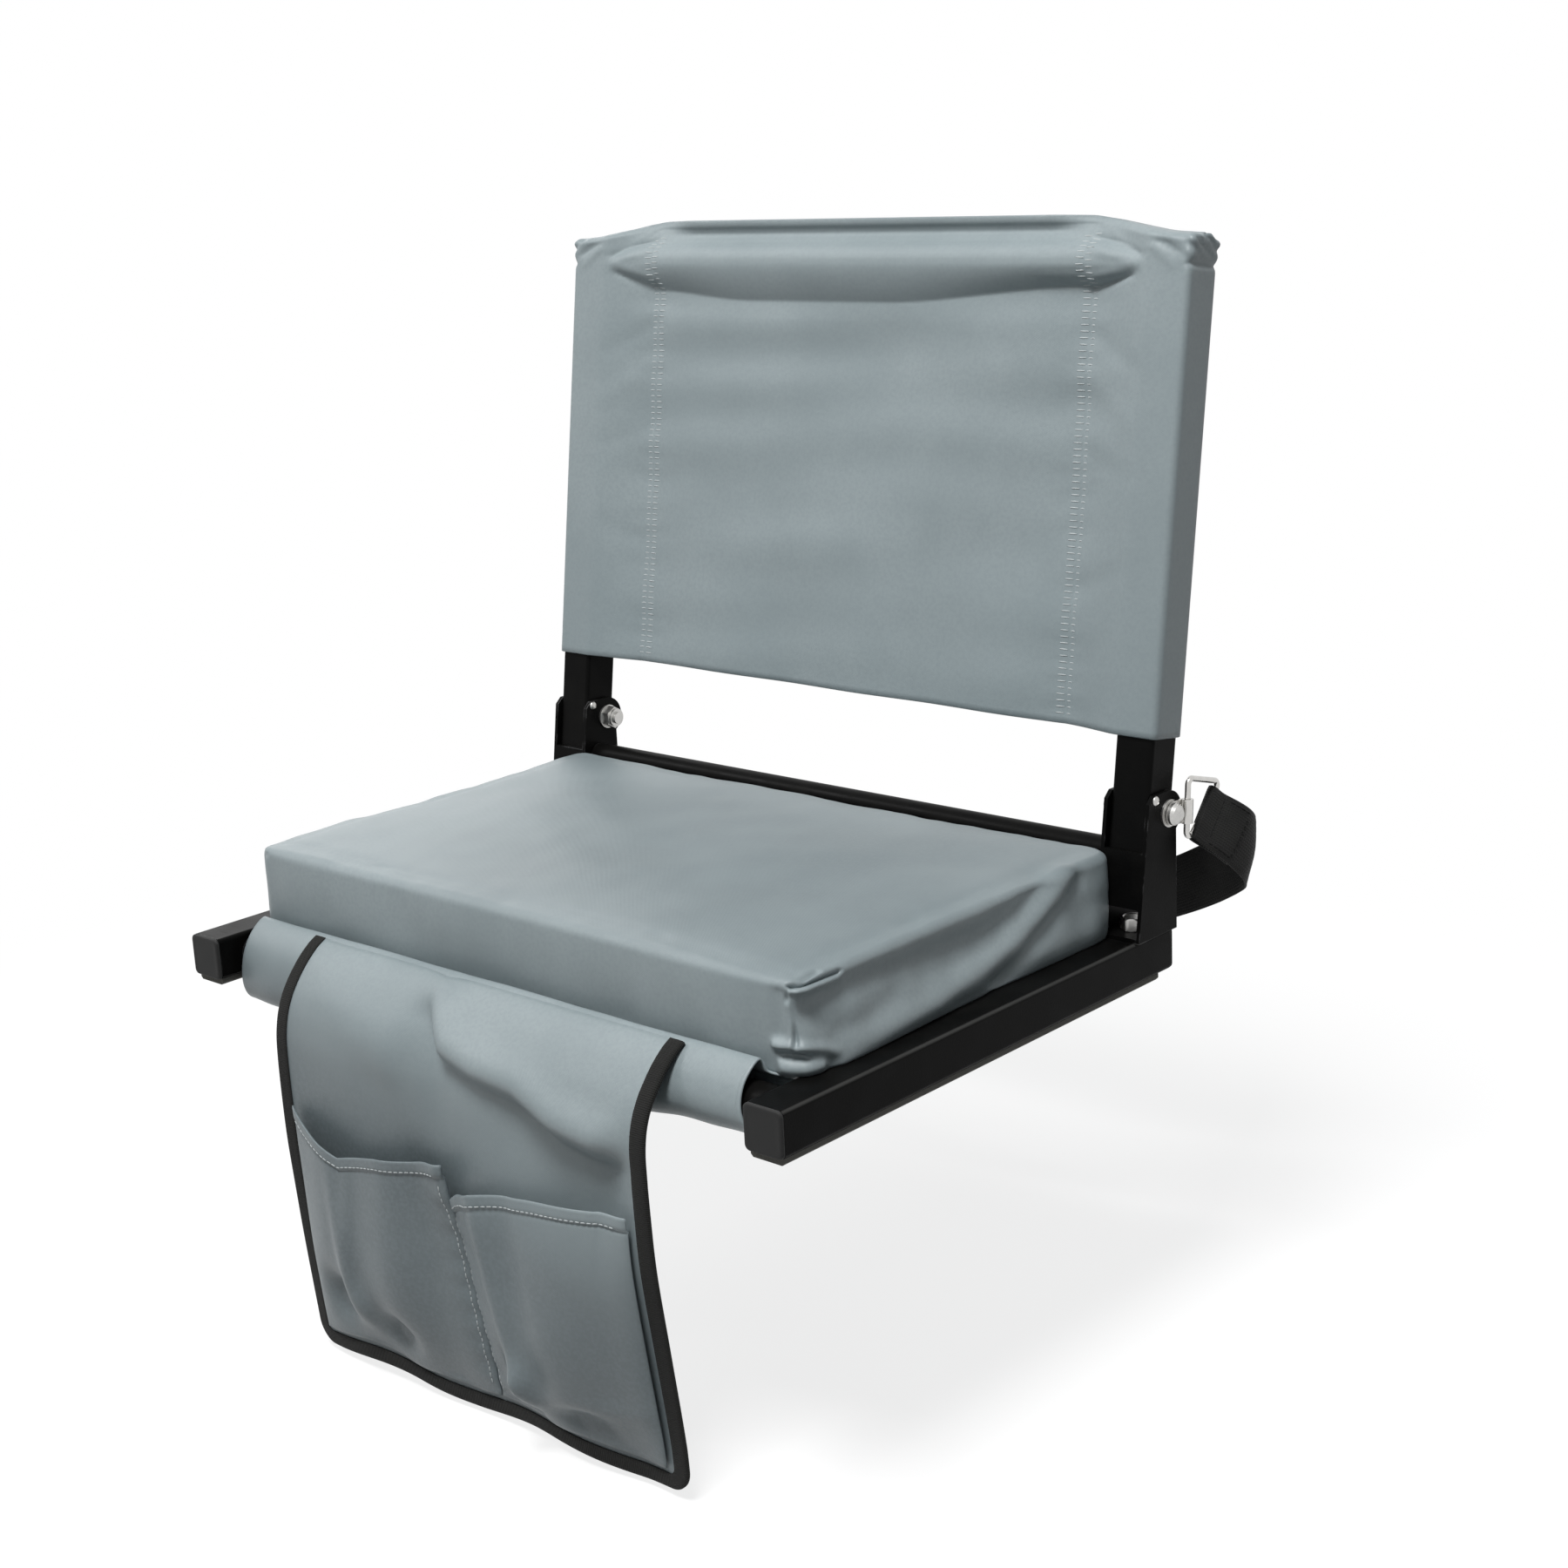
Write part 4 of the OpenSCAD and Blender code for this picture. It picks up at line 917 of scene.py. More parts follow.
cloth = Paint("grey_cloth", {
    "Specular IOR Level": 0.5, "Sheen Weight": 0.05, "Sheen Roughness": 0.45,
    "Sheen Tint": (0.86, 0.93, 1.0, 1.0),
})
cloth_place = cloth.place()
cloth_cloud = cloth.noise(cloth_place, 11.0, 4.0, 0.55)
cloth_fleck = cloth.noise(cloth_place, 420.0, 2.0)
cloth_u, cloth_v, _ = cloth.parts(cloth.place((1.0, 1.0, 1.0), "UV"))
thread_turns = 2 * math.pi / 0.00085
cloth_weave = (cloth_u * thread_turns).sine() * (cloth_v * thread_turns).sine()
cloth_tone = cloth.mix(cloth_cloud.ramp(0.3, 0.7), (0.232, 0.277, 0.290), (0.27, 0.316, 0.329))
cloth_x, _, cloth_z = cloth.parts(cloth_place)

# The darker foot of the bag and middle of the seat are painted shade, matched to the photograph,
# and not the cloth's own colour.
cloth_foot_shade = (cloth_z + 0.3 * cloth_x).ramp(-0.095, 0.008, 0.95, 0.0)
cloth_seat_shade = cloth_z.ramp(0.074, 0.083, 0.0, 0.6) * cloth_x.ramp(-0.2, 0.0, 0.2, 1.0)
cloth_seat_shade = cloth_seat_shade * cloth_z.ramp(0.095, 0.11, 1.0, 0.0)
cloth_painted_shade = (cloth_foot_shade + cloth_seat_shade) * cloth_cloud.ramp(0.2, 0.8, 1.0, 0.7)
cloth_shaded_tone = cloth.mix(cloth_painted_shade, cloth_tone, (0.105, 0.130, 0.140))
cloth.show(
    Base_Color=cloth.mix(cloth_fleck.ramp(0.35, 0.7) * 0.3, cloth_shaded_tone, (0.2, 0.24, 0.255)),
    Roughness=0.35 + 0.12 * cloth_cloud,
)
cloth.bump(0.5 * cloth_weave + 1.4 * cloth.noise(cloth_place, 260.0, 3.0), 0.00012, 0.55)

cushion = make_object(
    "seat_cushion", cushion_points, cushion_faces, cloth.material, uvs=cushion_uvs
)
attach(cushion, "base")
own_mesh(cushion)
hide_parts("cushion_cover", "cushion_foam")


# Seat deck and front sleeve
# One coated cloth sheet under the cushion. It is sewn round the rear tube and into a wide loose
# sleeve round the front tube, which sags more at the left, with two stitch rows along its top.
deck_cloth = 1.5 * MM
deck_half_x = 208.5 * MM
deck_z = 27.05 * MM
rear_tube_y = 131.0 * MM
rear_tube_z = 15.0 * MM
rear_loop_r = 11.9 * MM
sleeve_line = [
    (-122.0, 27.0), (-128.0, 27.2), (-132.9, 29.4), (-134.4, 33.8), (-136.6, 36.3), (-140.8, 34.6),
    (-146.4, 29.8), (-151.0, 23.5), (-154.2, 15.5), (-155.2, 6.5), (-153.4, -0.4), (-149.6, -5.2),
    (-144.0, -7.7), (-137.5, -7.7), (-131.8, -4.6), (-128.0, 2.6), (-126.7, 12.0), (-125.5, 22.5),
    (-120.0, 25.4),
]


def curve_through(points, steps):
    """Points of a smooth curve through the given ones."""
    p = np.array(points, dtype=float)
    count = len(p)
    out = []
    for i in range(count - 1):
        a = p[i - 1] if i > 0 else 2 * p[0] - p[1]
        b = p[i]
        c = p[i + 1]
        d = p[i + 2] if i + 2 < count else 2 * p[-1] - p[-2]
        for k in range(steps):
            t = k / steps
            out.append(0.5 * (
                2 * b + (c - a) * t + (2 * a - 5 * b + 4 * c - d) * t ** 2
                + (3 * b - a - 3 * c + d) * t ** 3
            ))
    out.append(p[-1])
    return np.array(out)


def run_along(route):
    """The distance from the start of a route at each of its points."""
    return np.concatenate([[0], np.cumsum(np.linalg.norm(np.diff(route, axis=0), axis=1))])


def grid_normals(grid, closed=False):
    """Unit normals of a grid of points, first index cross second index."""
    if closed:
        first = np.roll(grid, -1, axis=0) - np.roll(grid, 1, axis=0)
    else:
        first = np.gradient(grid, axis=0)
    second = np.gradient(grid, axis=1)
    flat = np.cross(first, second)
    return flat / (np.linalg.norm(flat, axis=2, keepdims=True) + 1e-15)


def cloth_shell(name, grid, thickness, material, closed=False, lift=0.5, roll=0.35):
    """A sheet of cloth on a grid of points, with thickness, rounded rims and UVs in metres.
    lift is the share of the thickness that stands on the grid's outer side."""
    rows, columns = grid.shape[:2]
    normals = grid_normals(grid, closed)
    outer = grid + normals * thickness * lift
    inner = grid - normals * thickness * (1 - lift)
    centre = (outer + inner) / 2
    count = rows * columns
    points = [*outer.reshape(-1, 3), *inner.reshape(-1, 3)]
    run_u = run_along(grid[:, columns // 2])
    run_v = run_along(grid[rows // 2])
    if closed:
        last_step = np.linalg.norm(grid[0, columns // 2] - grid[-1, columns // 2])
        run_u = np.append(run_u, run_u[-1] + last_step)
    faces, uvs = [], []
    for i in range(rows if closed else rows - 1):
        k = (i + 1) % rows
        for j in range(columns - 1):
            a, b = i * columns + j, k * columns + j
            faces.append((a, b, b + 1, a + 1))
            uvs += [(run_u[i], run_v[j]), (run_u[i + 1], run_v[j]),
                    (run_u[i + 1], run_v[j + 1]), (run_u[i], run_v[j + 1])]
            faces.append((count + a, count + a + 1, count + b + 1, count + b))
            uvs += [(run_u[i], run_v[j]), (run_u[i], run_v[j + 1]),
                    (run_u[i + 1], run_v[j + 1]), (run_u[i + 1], run_v[j])]
    if closed:
        rims = [[(i, 0) for i in range(rows)], [(i, columns - 1) for i in reversed(range(rows))]]
    else:
        rims = [
            [(i, 0) for i in range(rows)]
            + [(rows - 1, j) for j in range(1, columns)]
            + [(i, columns - 1) for i in reversed(range(rows - 1))]
            + [(0, j) for j in reversed(range(1, columns - 1))]
        ]
    for rim in rims:
        start = len(points)
        size = len(rim)
        for i, j in rim:
            ii = i if closed else min(max(i, 1), rows - 2)
            jj = min(max(j, 1), columns - 2)
            away = centre[i, j] - centre[ii, jj]
            away = away / (np.linalg.norm(away) + 1e-12)
            points.append(centre[i, j] + away * thickness * roll)
        for k in range(size):
            n = (k + 1) % size
            a = rim[k][0] * columns + rim[k][1]
            b = rim[n][0] * columns + rim[n][1]
            faces.append((a, start + k, start + n, b))
            faces.append((start + k, count + a, count + b, start + n))
            spot = (run_u[rim[k][0]], run_v[rim[k][1]])
            uvs += [spot] * 8
    return make_object(name, points, faces, material, uvs=uvs)


deck_route = []
for k in range(25):
    a = math.radians(-200 + 290 * k / 24)
    deck_route.append((
        rear_tube_y / MM + rear_loop_r / MM * math.cos(a),
        rear_tube_z / MM + rear_loop_r / MM * math.sin(a),
    ))
for y in np.linspace(122, -112, 60):
    deck_route.append((y, deck_z / MM))
deck_route = np.array(deck_route)
sleeve_curve = curve_through(sleeve_line, 6)
deck_line = np.concatenate([deck_route, sleeve_curve]) * MM
sleeve_start = len(deck_route)


def deck_columns(xs):
    """Sections of the deck at each x, with the sleeve's uneven sag and its cut ends."""
    grid = np.zeros((len(xs), len(deck_line), 3))
    for i, x in enumerate(xs):
        side = x / deck_half_x
        line = deck_line.copy()
        forward, height = -line[:, 0], line[:, 1]
        low = smooth_step(forward, 0.124, 0.15)
        deep = smooth_step(forward, 0.118, 0.128) * smooth_step(-height, -0.022, 0.006)
        sag = 5.0 * MM * smooth_step(-side, -0.1, 1.0) - 6.0 * MM * smooth_step(side, 0.1, 1.0)
        ends = smooth_step(abs(side), 0.93, 1.0)
        fall = smooth_step(-height, -0.03, 0.012) * smooth_step(forward, 0.12, 0.126)
        line[:, 1] -= deep * sag
        line[:, 0] -= deep * 1.2 * MM * math.sin(side * 5.0 + 0.6)
        line[:, 0] += low * 0.8 * MM * math.sin(side * 9.0)
        under_seat = smooth_step(-forward, -0.13, -0.123) * smooth_step(height, 0.0255, 0.0265)
        grid[i, :, 0] = x * (1 + 0.029 * under_seat)
        grid[i, :, 1:] = line
        if side > 0:
            grid[i, :, 0] -= ends * (4.0 + 7.0 * (1 - fall)) * MM * smooth_step(forward, 0.126, 0.136)
        else:
            grid[i, :, 0] -= ends * 2.0 * MM * fall
    return grid


deck_xs = np.concatenate([
    np.linspace(-deck_half_x, -0.19, 10)[:-1],
    np.linspace(-0.19, 0.19, 90),
    np.linspace(0.19, deck_half_x, 10)[1:],
])
deck_grid = deck_columns(deck_xs)
deck_wave = waves(deck_grid.reshape(-1, 3) * np.array((1.0, 0.6, 0.6)), 21, 0.06)
deck_wave = deck_wave.reshape(deck_grid.shape[:2])
deck_loose = np.zeros(len(deck_line))
deck_loose[sleeve_start + 18:-8] = np.sin(np.linspace(0, math.pi, len(deck_line) - sleeve_start - 26))
deck_grid = deck_grid + grid_normals(deck_grid) * (deck_wave * deck_loose[None, :] * 0.0009)[:, :, None]
deck = cloth_shell("deck_cloth", deck_grid, deck_cloth, cloth.material)
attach(deck, "base")
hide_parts("seat_deck")

thread = Paint("pale_thread", {"Specular IOR Level": 0.4})
thread_cloud = thread.noise(thread.place(), 700.0, 2.0)
thread.show(
    Base_Color=thread.mix(thread_cloud, (0.40, 0.435, 0.44), (0.5, 0.53, 0.53)),
    Roughness=0.5 + 0.2 * thread_cloud,
)
thread.bump((thread.parts(thread.place((0.0, 0.0, 9000.0)))[2]).sine(), 0.00005, 0.4)
dark_thread = Paint("dark_thread", {"Specular IOR Level": 0.08})
dark_cloud = dark_thread.noise(dark_thread.place(), 700.0, 2.0)
dark_thread.show(
    Base_Color=dark_thread.mix(dark_cloud, (0.006, 0.006, 0.006), (0.014, 0.014, 0.014)),
    Roughness=0.45 + 0.2 * dark_cloud,
)
dark_thread.bump(dark_cloud, 0.00005, 0.4)

stitch_length = 2.9 * MM
stitch_pitch = 3.7 * MM
zigzag_length = 5.2 * MM


def stitch_ring(x, width, height, count=8):
    return [
        (x, width * math.cos(a), height * math.sin(a))
        for a in np.linspace(0, 2 * math.pi, count, endpoint=False)
    ]


stitch_stamp = make_stamp("stitch_stamp", [
    stitch_ring(x * stitch_length, w * MM, h * MM)
    for x, w, h in (
        (-0.5, 0.03, 0.03), (-0.46, 0.22, 0.16), (-0.3, 0.36, 0.3), (0.0, 0.4, 0.36),
        (0.3, 0.36, 0.3), (0.46, 0.22, 0.16), (0.5, 0.03, 0.03),
    )
])
zigzag_stamp = make_stamp("zigzag_stamp", [
    stitch_ring(x * zigzag_length, w * MM, h * MM)
    for x, w, h in (
        (-0.5, 0.03, 0.03), (-0.46, 0.25, 0.18), (0.0, 0.4, 0.34), (0.46, 0.25, 0.18), (0.5, 0.03, 0.03),
    )
])


def stitch_spots(route, outward):
    """Stitch places along a route, with their directions and outward normals."""
    route = np.array(route)
    outward = np.array(outward)
    run = run_along(route)
    spots, along, out = [], [], []
    for s in np.arange(stitch_pitch / 2, run[-1] - stitch_pitch / 2, stitch_pitch):
        here = [np.interp(s, run, route[:, k]) for k in range(3)]
        ahead_of = [np.interp(s + 0.0006, run, route[:, k]) for k in range(3)]
        behind = [np.interp(s - 0.0006, run, route[:, k]) for k in range(3)]
        spots.append(here)
        along.append(np.subtract(ahead_of, behind))
        out.append([np.interp(s, run, outward[:, k]) for k in range(3)])
    return spots, along, out


def sew(name, rows, paint, seed, body, across=False):
    """Stitches along several routes, each given as its points and outward normals.
    They lie along the route, or across it where the seam is a close zigzag."""
    spots, along, out = [], [], []
    for route, outward in rows:
        row = stitch_spots(route, outward)
        spots += row[0]
        along += [np.cross(a, b) for a, b in zip(row[1], row[2])] if across else row[1]
        out += row[2]
    stamp = zigzag_stamp if across else stitch_stamp
    made = strew(name, spots, along, out, stamp, paint, 0.06, seed, body)
    return made


deck_normals = grid_normals(deck_grid)
deck_rows = []
for want_y in (-0.1362, -0.1392):
    j = sleeve_start + int(np.argmin(np.abs(sleeve_curve[:42, 0] * MM - want_y)))
    route = deck_grid[3:-3, j] + deck_normals[3:-3, j] * deck_cloth * 0.5
    deck_rows.append((route, deck_normals[3:-3, j]))
deck_stitches = sew("sleeve_stitches", deck_rows, thread, 31, "base")


# Backrest cover
# A padded coated cloth cover that is pulled over both uprights and the top tube. Two stitch rows
# inside each upright make its sleeves, and folds run from the rows to the top corners.
lean = math.radians(8.4)
pivot_y = 161.5 * MM
pivot_z = 99.0 * MM
upright_mid = -5.0 * MM
cover_x = 241.6 * MM
sleeve_in = 213.4 * MM
row_x = 171.5 * MM
sleeve_half = 13.6 * MM
panel_half = 1.9 * MM
cover_cloth = 1.4 * MM
hem_u = 43.0 * MM
crease_u = 281.0 * MM
tube_u = 305.0 * MM
wrap_r = 12.1 * MM
seam_u = 330.4 * MM
corner_u = 319.6 * MM
corner_round = 3.2 * MM


def back_point(x, y, u):
    """From the back's own frame, leaning, to the shared frame."""
    return np.stack([
        x,
        pivot_y + y * math.cos(lean) + u * math.sin(lean),
        pivot_z + u * math.cos(lean) - y * math.sin(lean),
    ], axis=-1)


def top_of(x):
    """The cover's height at x: its shoulders slope down to the corners."""
    share = smooth_step(np.abs(x), 0.162, 0.237) * 0.55
    share = share + np.clip((np.abs(x) - 0.170) / 0.068, 0, 1) * 0.45
    return seam_u - (seam_u - corner_u) * share


def crease_of(x):
    """Where the front cloth leaves the panel for the top tube: lowest left of the middle."""
    return crease_u + 0.0105 * smooth_step(x, 0.02, row_x) + 0.0060 * smooth_step(-x, 0.09, row_x)


def cover_half(x, u):
    """Half the cover's depth, from the middle of the uprights, at x across and u up."""
    a = np.abs(x)
    ramp = np.clip((a - row_x - 0.003) / (sleeve_in - row_x - 0.003), 0, 1)
    side = panel_half + (sleeve_half - panel_half) * (0.85 * ramp + 0.15 * ramp ** 2)
    side = np.where(a > sleeve_in, sleeve_half, side)
    t = (u - tube_u) / wrap_r
    over = np.sqrt(np.clip(1 - t ** 2, 0, 1)) * wrap_r
    rise = np.clip((u - crease_of(x)) / (tube_u - 0.002 - crease_of(x)), 0, 1)
    below = panel_half + (wrap_r - panel_half) * (1 - (1 - rise) ** 1.5)
    taper = np.clip((top_of(x) - u) / (top_of(x) - tube_u - 0.004), 0, 1) ** 1.15
    beyond = 0.0006 + (wrap_r - 0.0006) * taper
    under_tube = np.maximum(below, np.where(t > -1, over * 0.98, 0))
    tube = np.where(u < tube_u, under_tube, np.maximum(over * 0.97, 0))
    tube = np.where(u >= tube_u, np.minimum(np.maximum(over, beyond * 0.75), wrap_r), tube)
    tube = np.where(u < crease_of(x), 0.0, tube)
    inside = np.maximum(side, tube)
    close = np.clip((top_of(x) - u) / 0.0045, 0, 1)
    lid_round = np.sqrt(np.clip(1 - (1 - close) ** 2, 0, 1))
    lid = 0.0007 + (np.minimum(inside, sleeve_half) - 0.0007) * lid_round
    near_side = smooth_step(a, 0.168, 0.205)
    middle = np.minimum(inside, np.where(u > tube_u, np.maximum(beyond, 0.0007), inside))
    return (1 - near_side) * middle + near_side * lid


cover_us = np.concatenate([
    np.linspace(hem_u, crease_u - 0.012, 62)[:-1],
    np.linspace(crease_u - 0.012, seam_u - 0.006, 46)[:-1],
    np.linspace(seam_u - 0.006, seam_u, 9),
]) / seam_u
front_xs = np.concatenate([
    np.linspace(-1.0, -0.885, 9)[:-1],
    np.linspace(-0.885, -0.64, 20)[:-1],
    np.linspace(-0.64, 0.64, 76)[:-1],
    np.linspace(0.64, 0.885, 20)[:-1],
    np.linspace(0.885, 1.0, 9),
]) * (cover_x - corner_round)
side_steps = 6


def cover_loop():
    """The cover's closed cross sections: along the front, round one side, back and round again."""
    columns = [(x, 1.0, "panel") for x in front_xs]
    for side in (1, -1):
        for k in range(1, side_steps + 1):
            a = 90 * k / side_steps
            columns.append((side, a, "near"))
        for k in range(1, side_steps):
            columns.append((side, k / side_steps, "flat"))
        for k in range(side_steps):
            a = 90 - 90 * k / side_steps
            columns.append((side, a, "far"))
        if side == 1:
            columns += [(x, -1.0, "panel") for x in reversed(front_xs)]
    return columns


cover_columns = cover_loop()
cover_local = np.zeros((len(cover_columns), len(cover_us), 3))
for i, (first, second, kind) in enumerate(cover_columns):
    if kind == "panel":
        x = np.full(len(cover_us), first)
        u = hem_u + (cover_us * seam_u - hem_u) * (top_of(x) - hem_u) / (seam_u - hem_u)
        y = -second * cover_half(x, u)
    else:
        facing = 1.0 if first == 1 else -1.0
        edge = np.full(len(cover_us), facing * (cover_x - corner_round))
        u = hem_u + (cover_us * seam_u - hem_u) * (top_of(edge) - hem_u) / (seam_u - hem_u)
        half = cover_half(edge, u)
        r = np.minimum(corner_round, half)
        if kind == "flat":
            span = half - r
            lead = -span + 2 * span * second
            x = edge + facing * r
            y = lead * facing
        else:
            a = math.radians(second)
            front_side = -1.0 if (kind == "near") == (first == 1) else 1.0
            x = edge + facing * r * math.sin(a)
            y = front_side * (half - r + r * math.cos(a))
    cover_local[i, :, 0] = x
    cover_local[i, :, 1] = y
    cover_local[i, :, 2] = u


def cover_shape(local_grid):
    """Adds folds, wrinkles and the top flap's lean to the cover's plain shape."""
    x, y, u = local_grid[..., 0], local_grid[..., 1], local_grid[..., 2]
    a = np.abs(x)
    out = np.zeros_like(x)
    panel = 1 - smooth_step(a, row_x + 0.002, sleeve_in)
    flat = local_grid.reshape(-1, 3)
    stretched = flat * np.array((0.35, 1.0, 1.0))
    ripple = waves(stretched, 41, 0.045).reshape(x.shape)
    broad = waves(flat, 42, 0.16).reshape(x.shape)
    level_waves = waves(flat * np.array((0.12, 0.0, 1.0)), 43, 0.036).reshape(x.shape)
    upper = smooth_step(u, 0.12, 0.24) * 0.6 + 0.4
    still = smooth_step(-u, -0.284, -0.262)
    together = panel * (0.0003 * ripple + 0.0009 * broad + 0.0009 * upper * level_waves) * still
    pull = np.exp(-((a - row_x) / 0.016) ** 2) * np.sin(u / 0.0105 * math.pi + 3 * ripple)
    out += 0.00022 * pull * (1 - smooth_step(u, 0.28, 0.3))
    groove = np.exp(-((a - row_x) / 0.0028) ** 2) * (1 - smooth_step(u, seam_u - 0.02, seam_u - 0.008))
    out -= 0.0006 * groove
    slack = smooth_step(u, hem_u + 0.10, hem_u) * panel
    out += slack * 0.0012 * np.sin(x / 0.055 * math.pi + 0.7)
    for side in (-1, 1):
        for low_x, low_u, high_x, high_u, width, depth in (
            (0.172, 0.2895, 0.203, 0.2975, 0.0020, 0.0015),
            (0.173, 0.2945, 0.206, 0.3020, 0.0030, -0.0012),
            (0.175, 0.3180, 0.208, 0.3085, 0.0018, 0.0016),
            (0.174, 0.3120, 0.204, 0.3040, 0.0028, -0.0009),
            (0.222, 0.3150, 0.237, 0.3060, 0.0016, 0.0014),
            (0.226, 0.3180, 0.238, 0.3110, 0.0014, -0.0014),
            (0.217, 0.3125, 0.233, 0.3010, 0.0016, -0.0010),
            (0.172, 0.266, 0.208, 0.247, 0.005, 0.0007),
            (0.172, 0.241, 0.209, 0.216, 0.006, -0.0006),
            (0.172, 0.198, 0.208, 0.186, 0.006, 0.0006),
            (0.172, 0.120, 0.208, 0.133, 0.006, 0.0006),
        ):
            start = np.array((side * low_x, low_u))
            run = np.array((side * high_x, high_u)) - start
            t = np.clip(((x - start[0]) * run[0] + (u - start[1]) * run[1]) / (run @ run), 0, 1)
            away = np.hypot(x - start[0] - t * run[0], u - start[1] - t * run[1])
            out -= depth * np.exp(-(away / width) ** 2) * (1 - 0.35 * t)
    moved = local_grid.copy()
    direction = np.where(y < 0, -1.0, 1.0)
    gate = smooth_step(np.abs(y), 0.0004, 0.0014)
    gate = gate * (1 - smooth_step(a, cover_x - 0.012, cover_x - 0.004))
    moved[..., 1] += direction * out * gate - together
    flap = smooth_step(u, seam_u - 0.009, seam_u) * (1 - smooth_step(a, 0.140, 0.172))
    moved[..., 1] -= flap * 0.0042
    back_of = smooth_step(u, seam_u - 0.018, seam_u - 0.009) * (1 - smooth_step(a, 0.140, 0.172))
    moved[..., 1] += (back_of - flap) * 0.0022
    moved[..., 1] += upright_mid
    ear = smooth_step(a, 0.219, 0.238) * smooth_step(u, 0.3015, 0.3155)
    ear_wave = np.sin(u / 0.0034 * math.pi + y / 0.006 * math.pi)
    moved[..., 0] += np.sign(x) * ear * (0.0010 + 0.0006 * ear_wave)
    moved[..., 1] += ear * 0.0008 * np.sin(u / 0.0042 * math.pi + a / 0.0051 * math.pi) * direction
    moved[..., 2] += ear * 0.0009 * np.sin(y / 0.0065 * math.pi + 0.6)
    nape = np.exp(-((u - 0.3025 - 0.25 * (a - 0.238)) / 0.0018) ** 2) * smooth_step(a, 0.224, 0.238)
    moved[..., 0] -= np.sign(x) * nape * 0.0015
    return moved


cover_local = cover_shape(cover_local)
cover_grid = back_point(cover_local[..., 0], cover_local[..., 1], cover_local[..., 2])
cover = cloth_shell("backrest_cloth", cover_grid, cover_cloth, cloth.material, closed=True, lift=0.5)
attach(cover, "back")
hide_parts("back_cover")

cover_normals = grid_normals(cover_grid, True)
cover_rows = []
for i, (first, second, kind) in enumerate(cover_columns):
    if kind != "panel":
        continue
    for want in (-0.1745, -0.1680, 0.1680, 0.1745):
        if abs(first - want) < 0.0021 and abs(first - want) <= min(abs(front_xs - want)) + 1e-9:
            lift_by = cover_cloth * 0.5 - 0.05 * MM
            take = slice(1, -9)
            route = cover_grid[i, take] + cover_normals[i, take] * lift_by
            cover_rows.append((route, cover_normals[i, take]))
cover_stitches = sew("backrest_stitches", cover_rows, thread, 32, "back", across=True)


# Front bag
# A limp cloth panel that hangs from the front sleeve over the bench's edge. It is one piece of
# cloth from its sewn top to its foot.
bag_line = [
    (-141.8, 36.4), (-148.6, 32.5), (-158.6, 23.4), (-168.6, 10.0), (-175.0, -6.0), (-177.2, -26.0),
    (-175.6, -70.0), (-172.0, -120.0), (-167.0, -210.6),
]
bag_cloth = 1.8 * MM
bag_half = 150.0 * MM
bag_radius = 13.0 * MM
bag_curve = curve_through(bag_line, 24) * MM
bag_run = run_along(bag_curve)
bag_length = bag_run[-1]


def run_at(z):
    """The run along the bag's line at height z."""
    return np.interp(-z, -bag_curve[:, 1], bag_run)


def bag_base(x, v):
    """The hanging panel, at x across and v along it, with its drape."""
    y = np.interp(v, bag_run, bag_curve[:, 0])
    z = np.interp(v, bag_run, bag_curve[:, 1])
    side = x / bag_half
    hang = smooth_step(-z, -0.012, 0.03)
    line_z = np.interp(x, [-0.15, -0.06, -0.03, -0.008, 0.02, 0.055, 0.085, 0.115, 0.15],
                       [0.03, 0.034, 0.029, 0.007, 0.001, -0.002, -0.013, -0.017, -0.012])
    strength = smooth_step(x, -0.055, -0.012) * (1 - smooth_step(x, 0.115, 0.146))
    under = line_z - z
    swell = np.exp(-((under + 0.006) / 0.010) ** 2)
    tuck = smooth_step(under, -0.002, 0.015) * (1 - 0.75 * smooth_step(under, 0.02, 0.085))
    out = strength * (0.0050 * swell - 0.0098 * tuck)
    band = z + 0.004 + 0.42 * (x + 0.06)
    band_rise = 0.0020 * np.exp(-(band / 0.017) ** 2) * smooth_step(-x, 0.035, 0.06)
    out += band_rise * (1 - smooth_step(-x, 0.12, 0.142))
    out += hang * 0.0022 * np.sin(side * 4.2 + 0.9 + z * 11.0) * (1 - 0.4 * np.abs(side))
    out += hang * 0.0011 * np.sin(side * 9.5 + z * 23.0 + 1.7)
    low = smooth_step(-z, 0.06, 0.2)
    back = low * (0.0075 * smooth_step(side, 0.35, 1.0) + 0.0025 * smooth_step(-side, 0.5, 1.0))
    wide = np.interp(-z, [-0.03, 0.03, 0.12, 0.185, 0.2], [0.0, 0.0, 0.0022, 0.0032, 0.0028])
    return np.stack([
        x + np.where(side > 0, wide * side, 0.0005 * side),
        y - out + back,
        z - 0.0018 * low * np.cos(side * 7.0 + 0.8),
    ], axis=-1)


def bag_at(x, v, lift=0.0):
    """A point of the bag's middle surface, moved out from it by lift."""
    x = np.asarray(x, dtype=float)
    v = np.asarray(v, dtype=float)
    here = bag_base(x, v)
    if np.all(np.asarray(lift) == 0.0):
        return here
    return here + bag_normal(x, v) * np.asarray(lift)[..., None]


def bag_normal(x, v):
    """The outward, front-facing normal of the bag."""
    step = 0.0008
    across = bag_base(x + step, v) - bag_base(x - step, v)
    down = bag_base(x, v + step) - bag_base(x, v - step)
    flat = np.cross(down, across)
    flat = -flat if np.mean(flat[..., 1]) > 0 else flat
    return flat / (np.linalg.norm(flat, axis=-1, keepdims=True) + 1e-15)


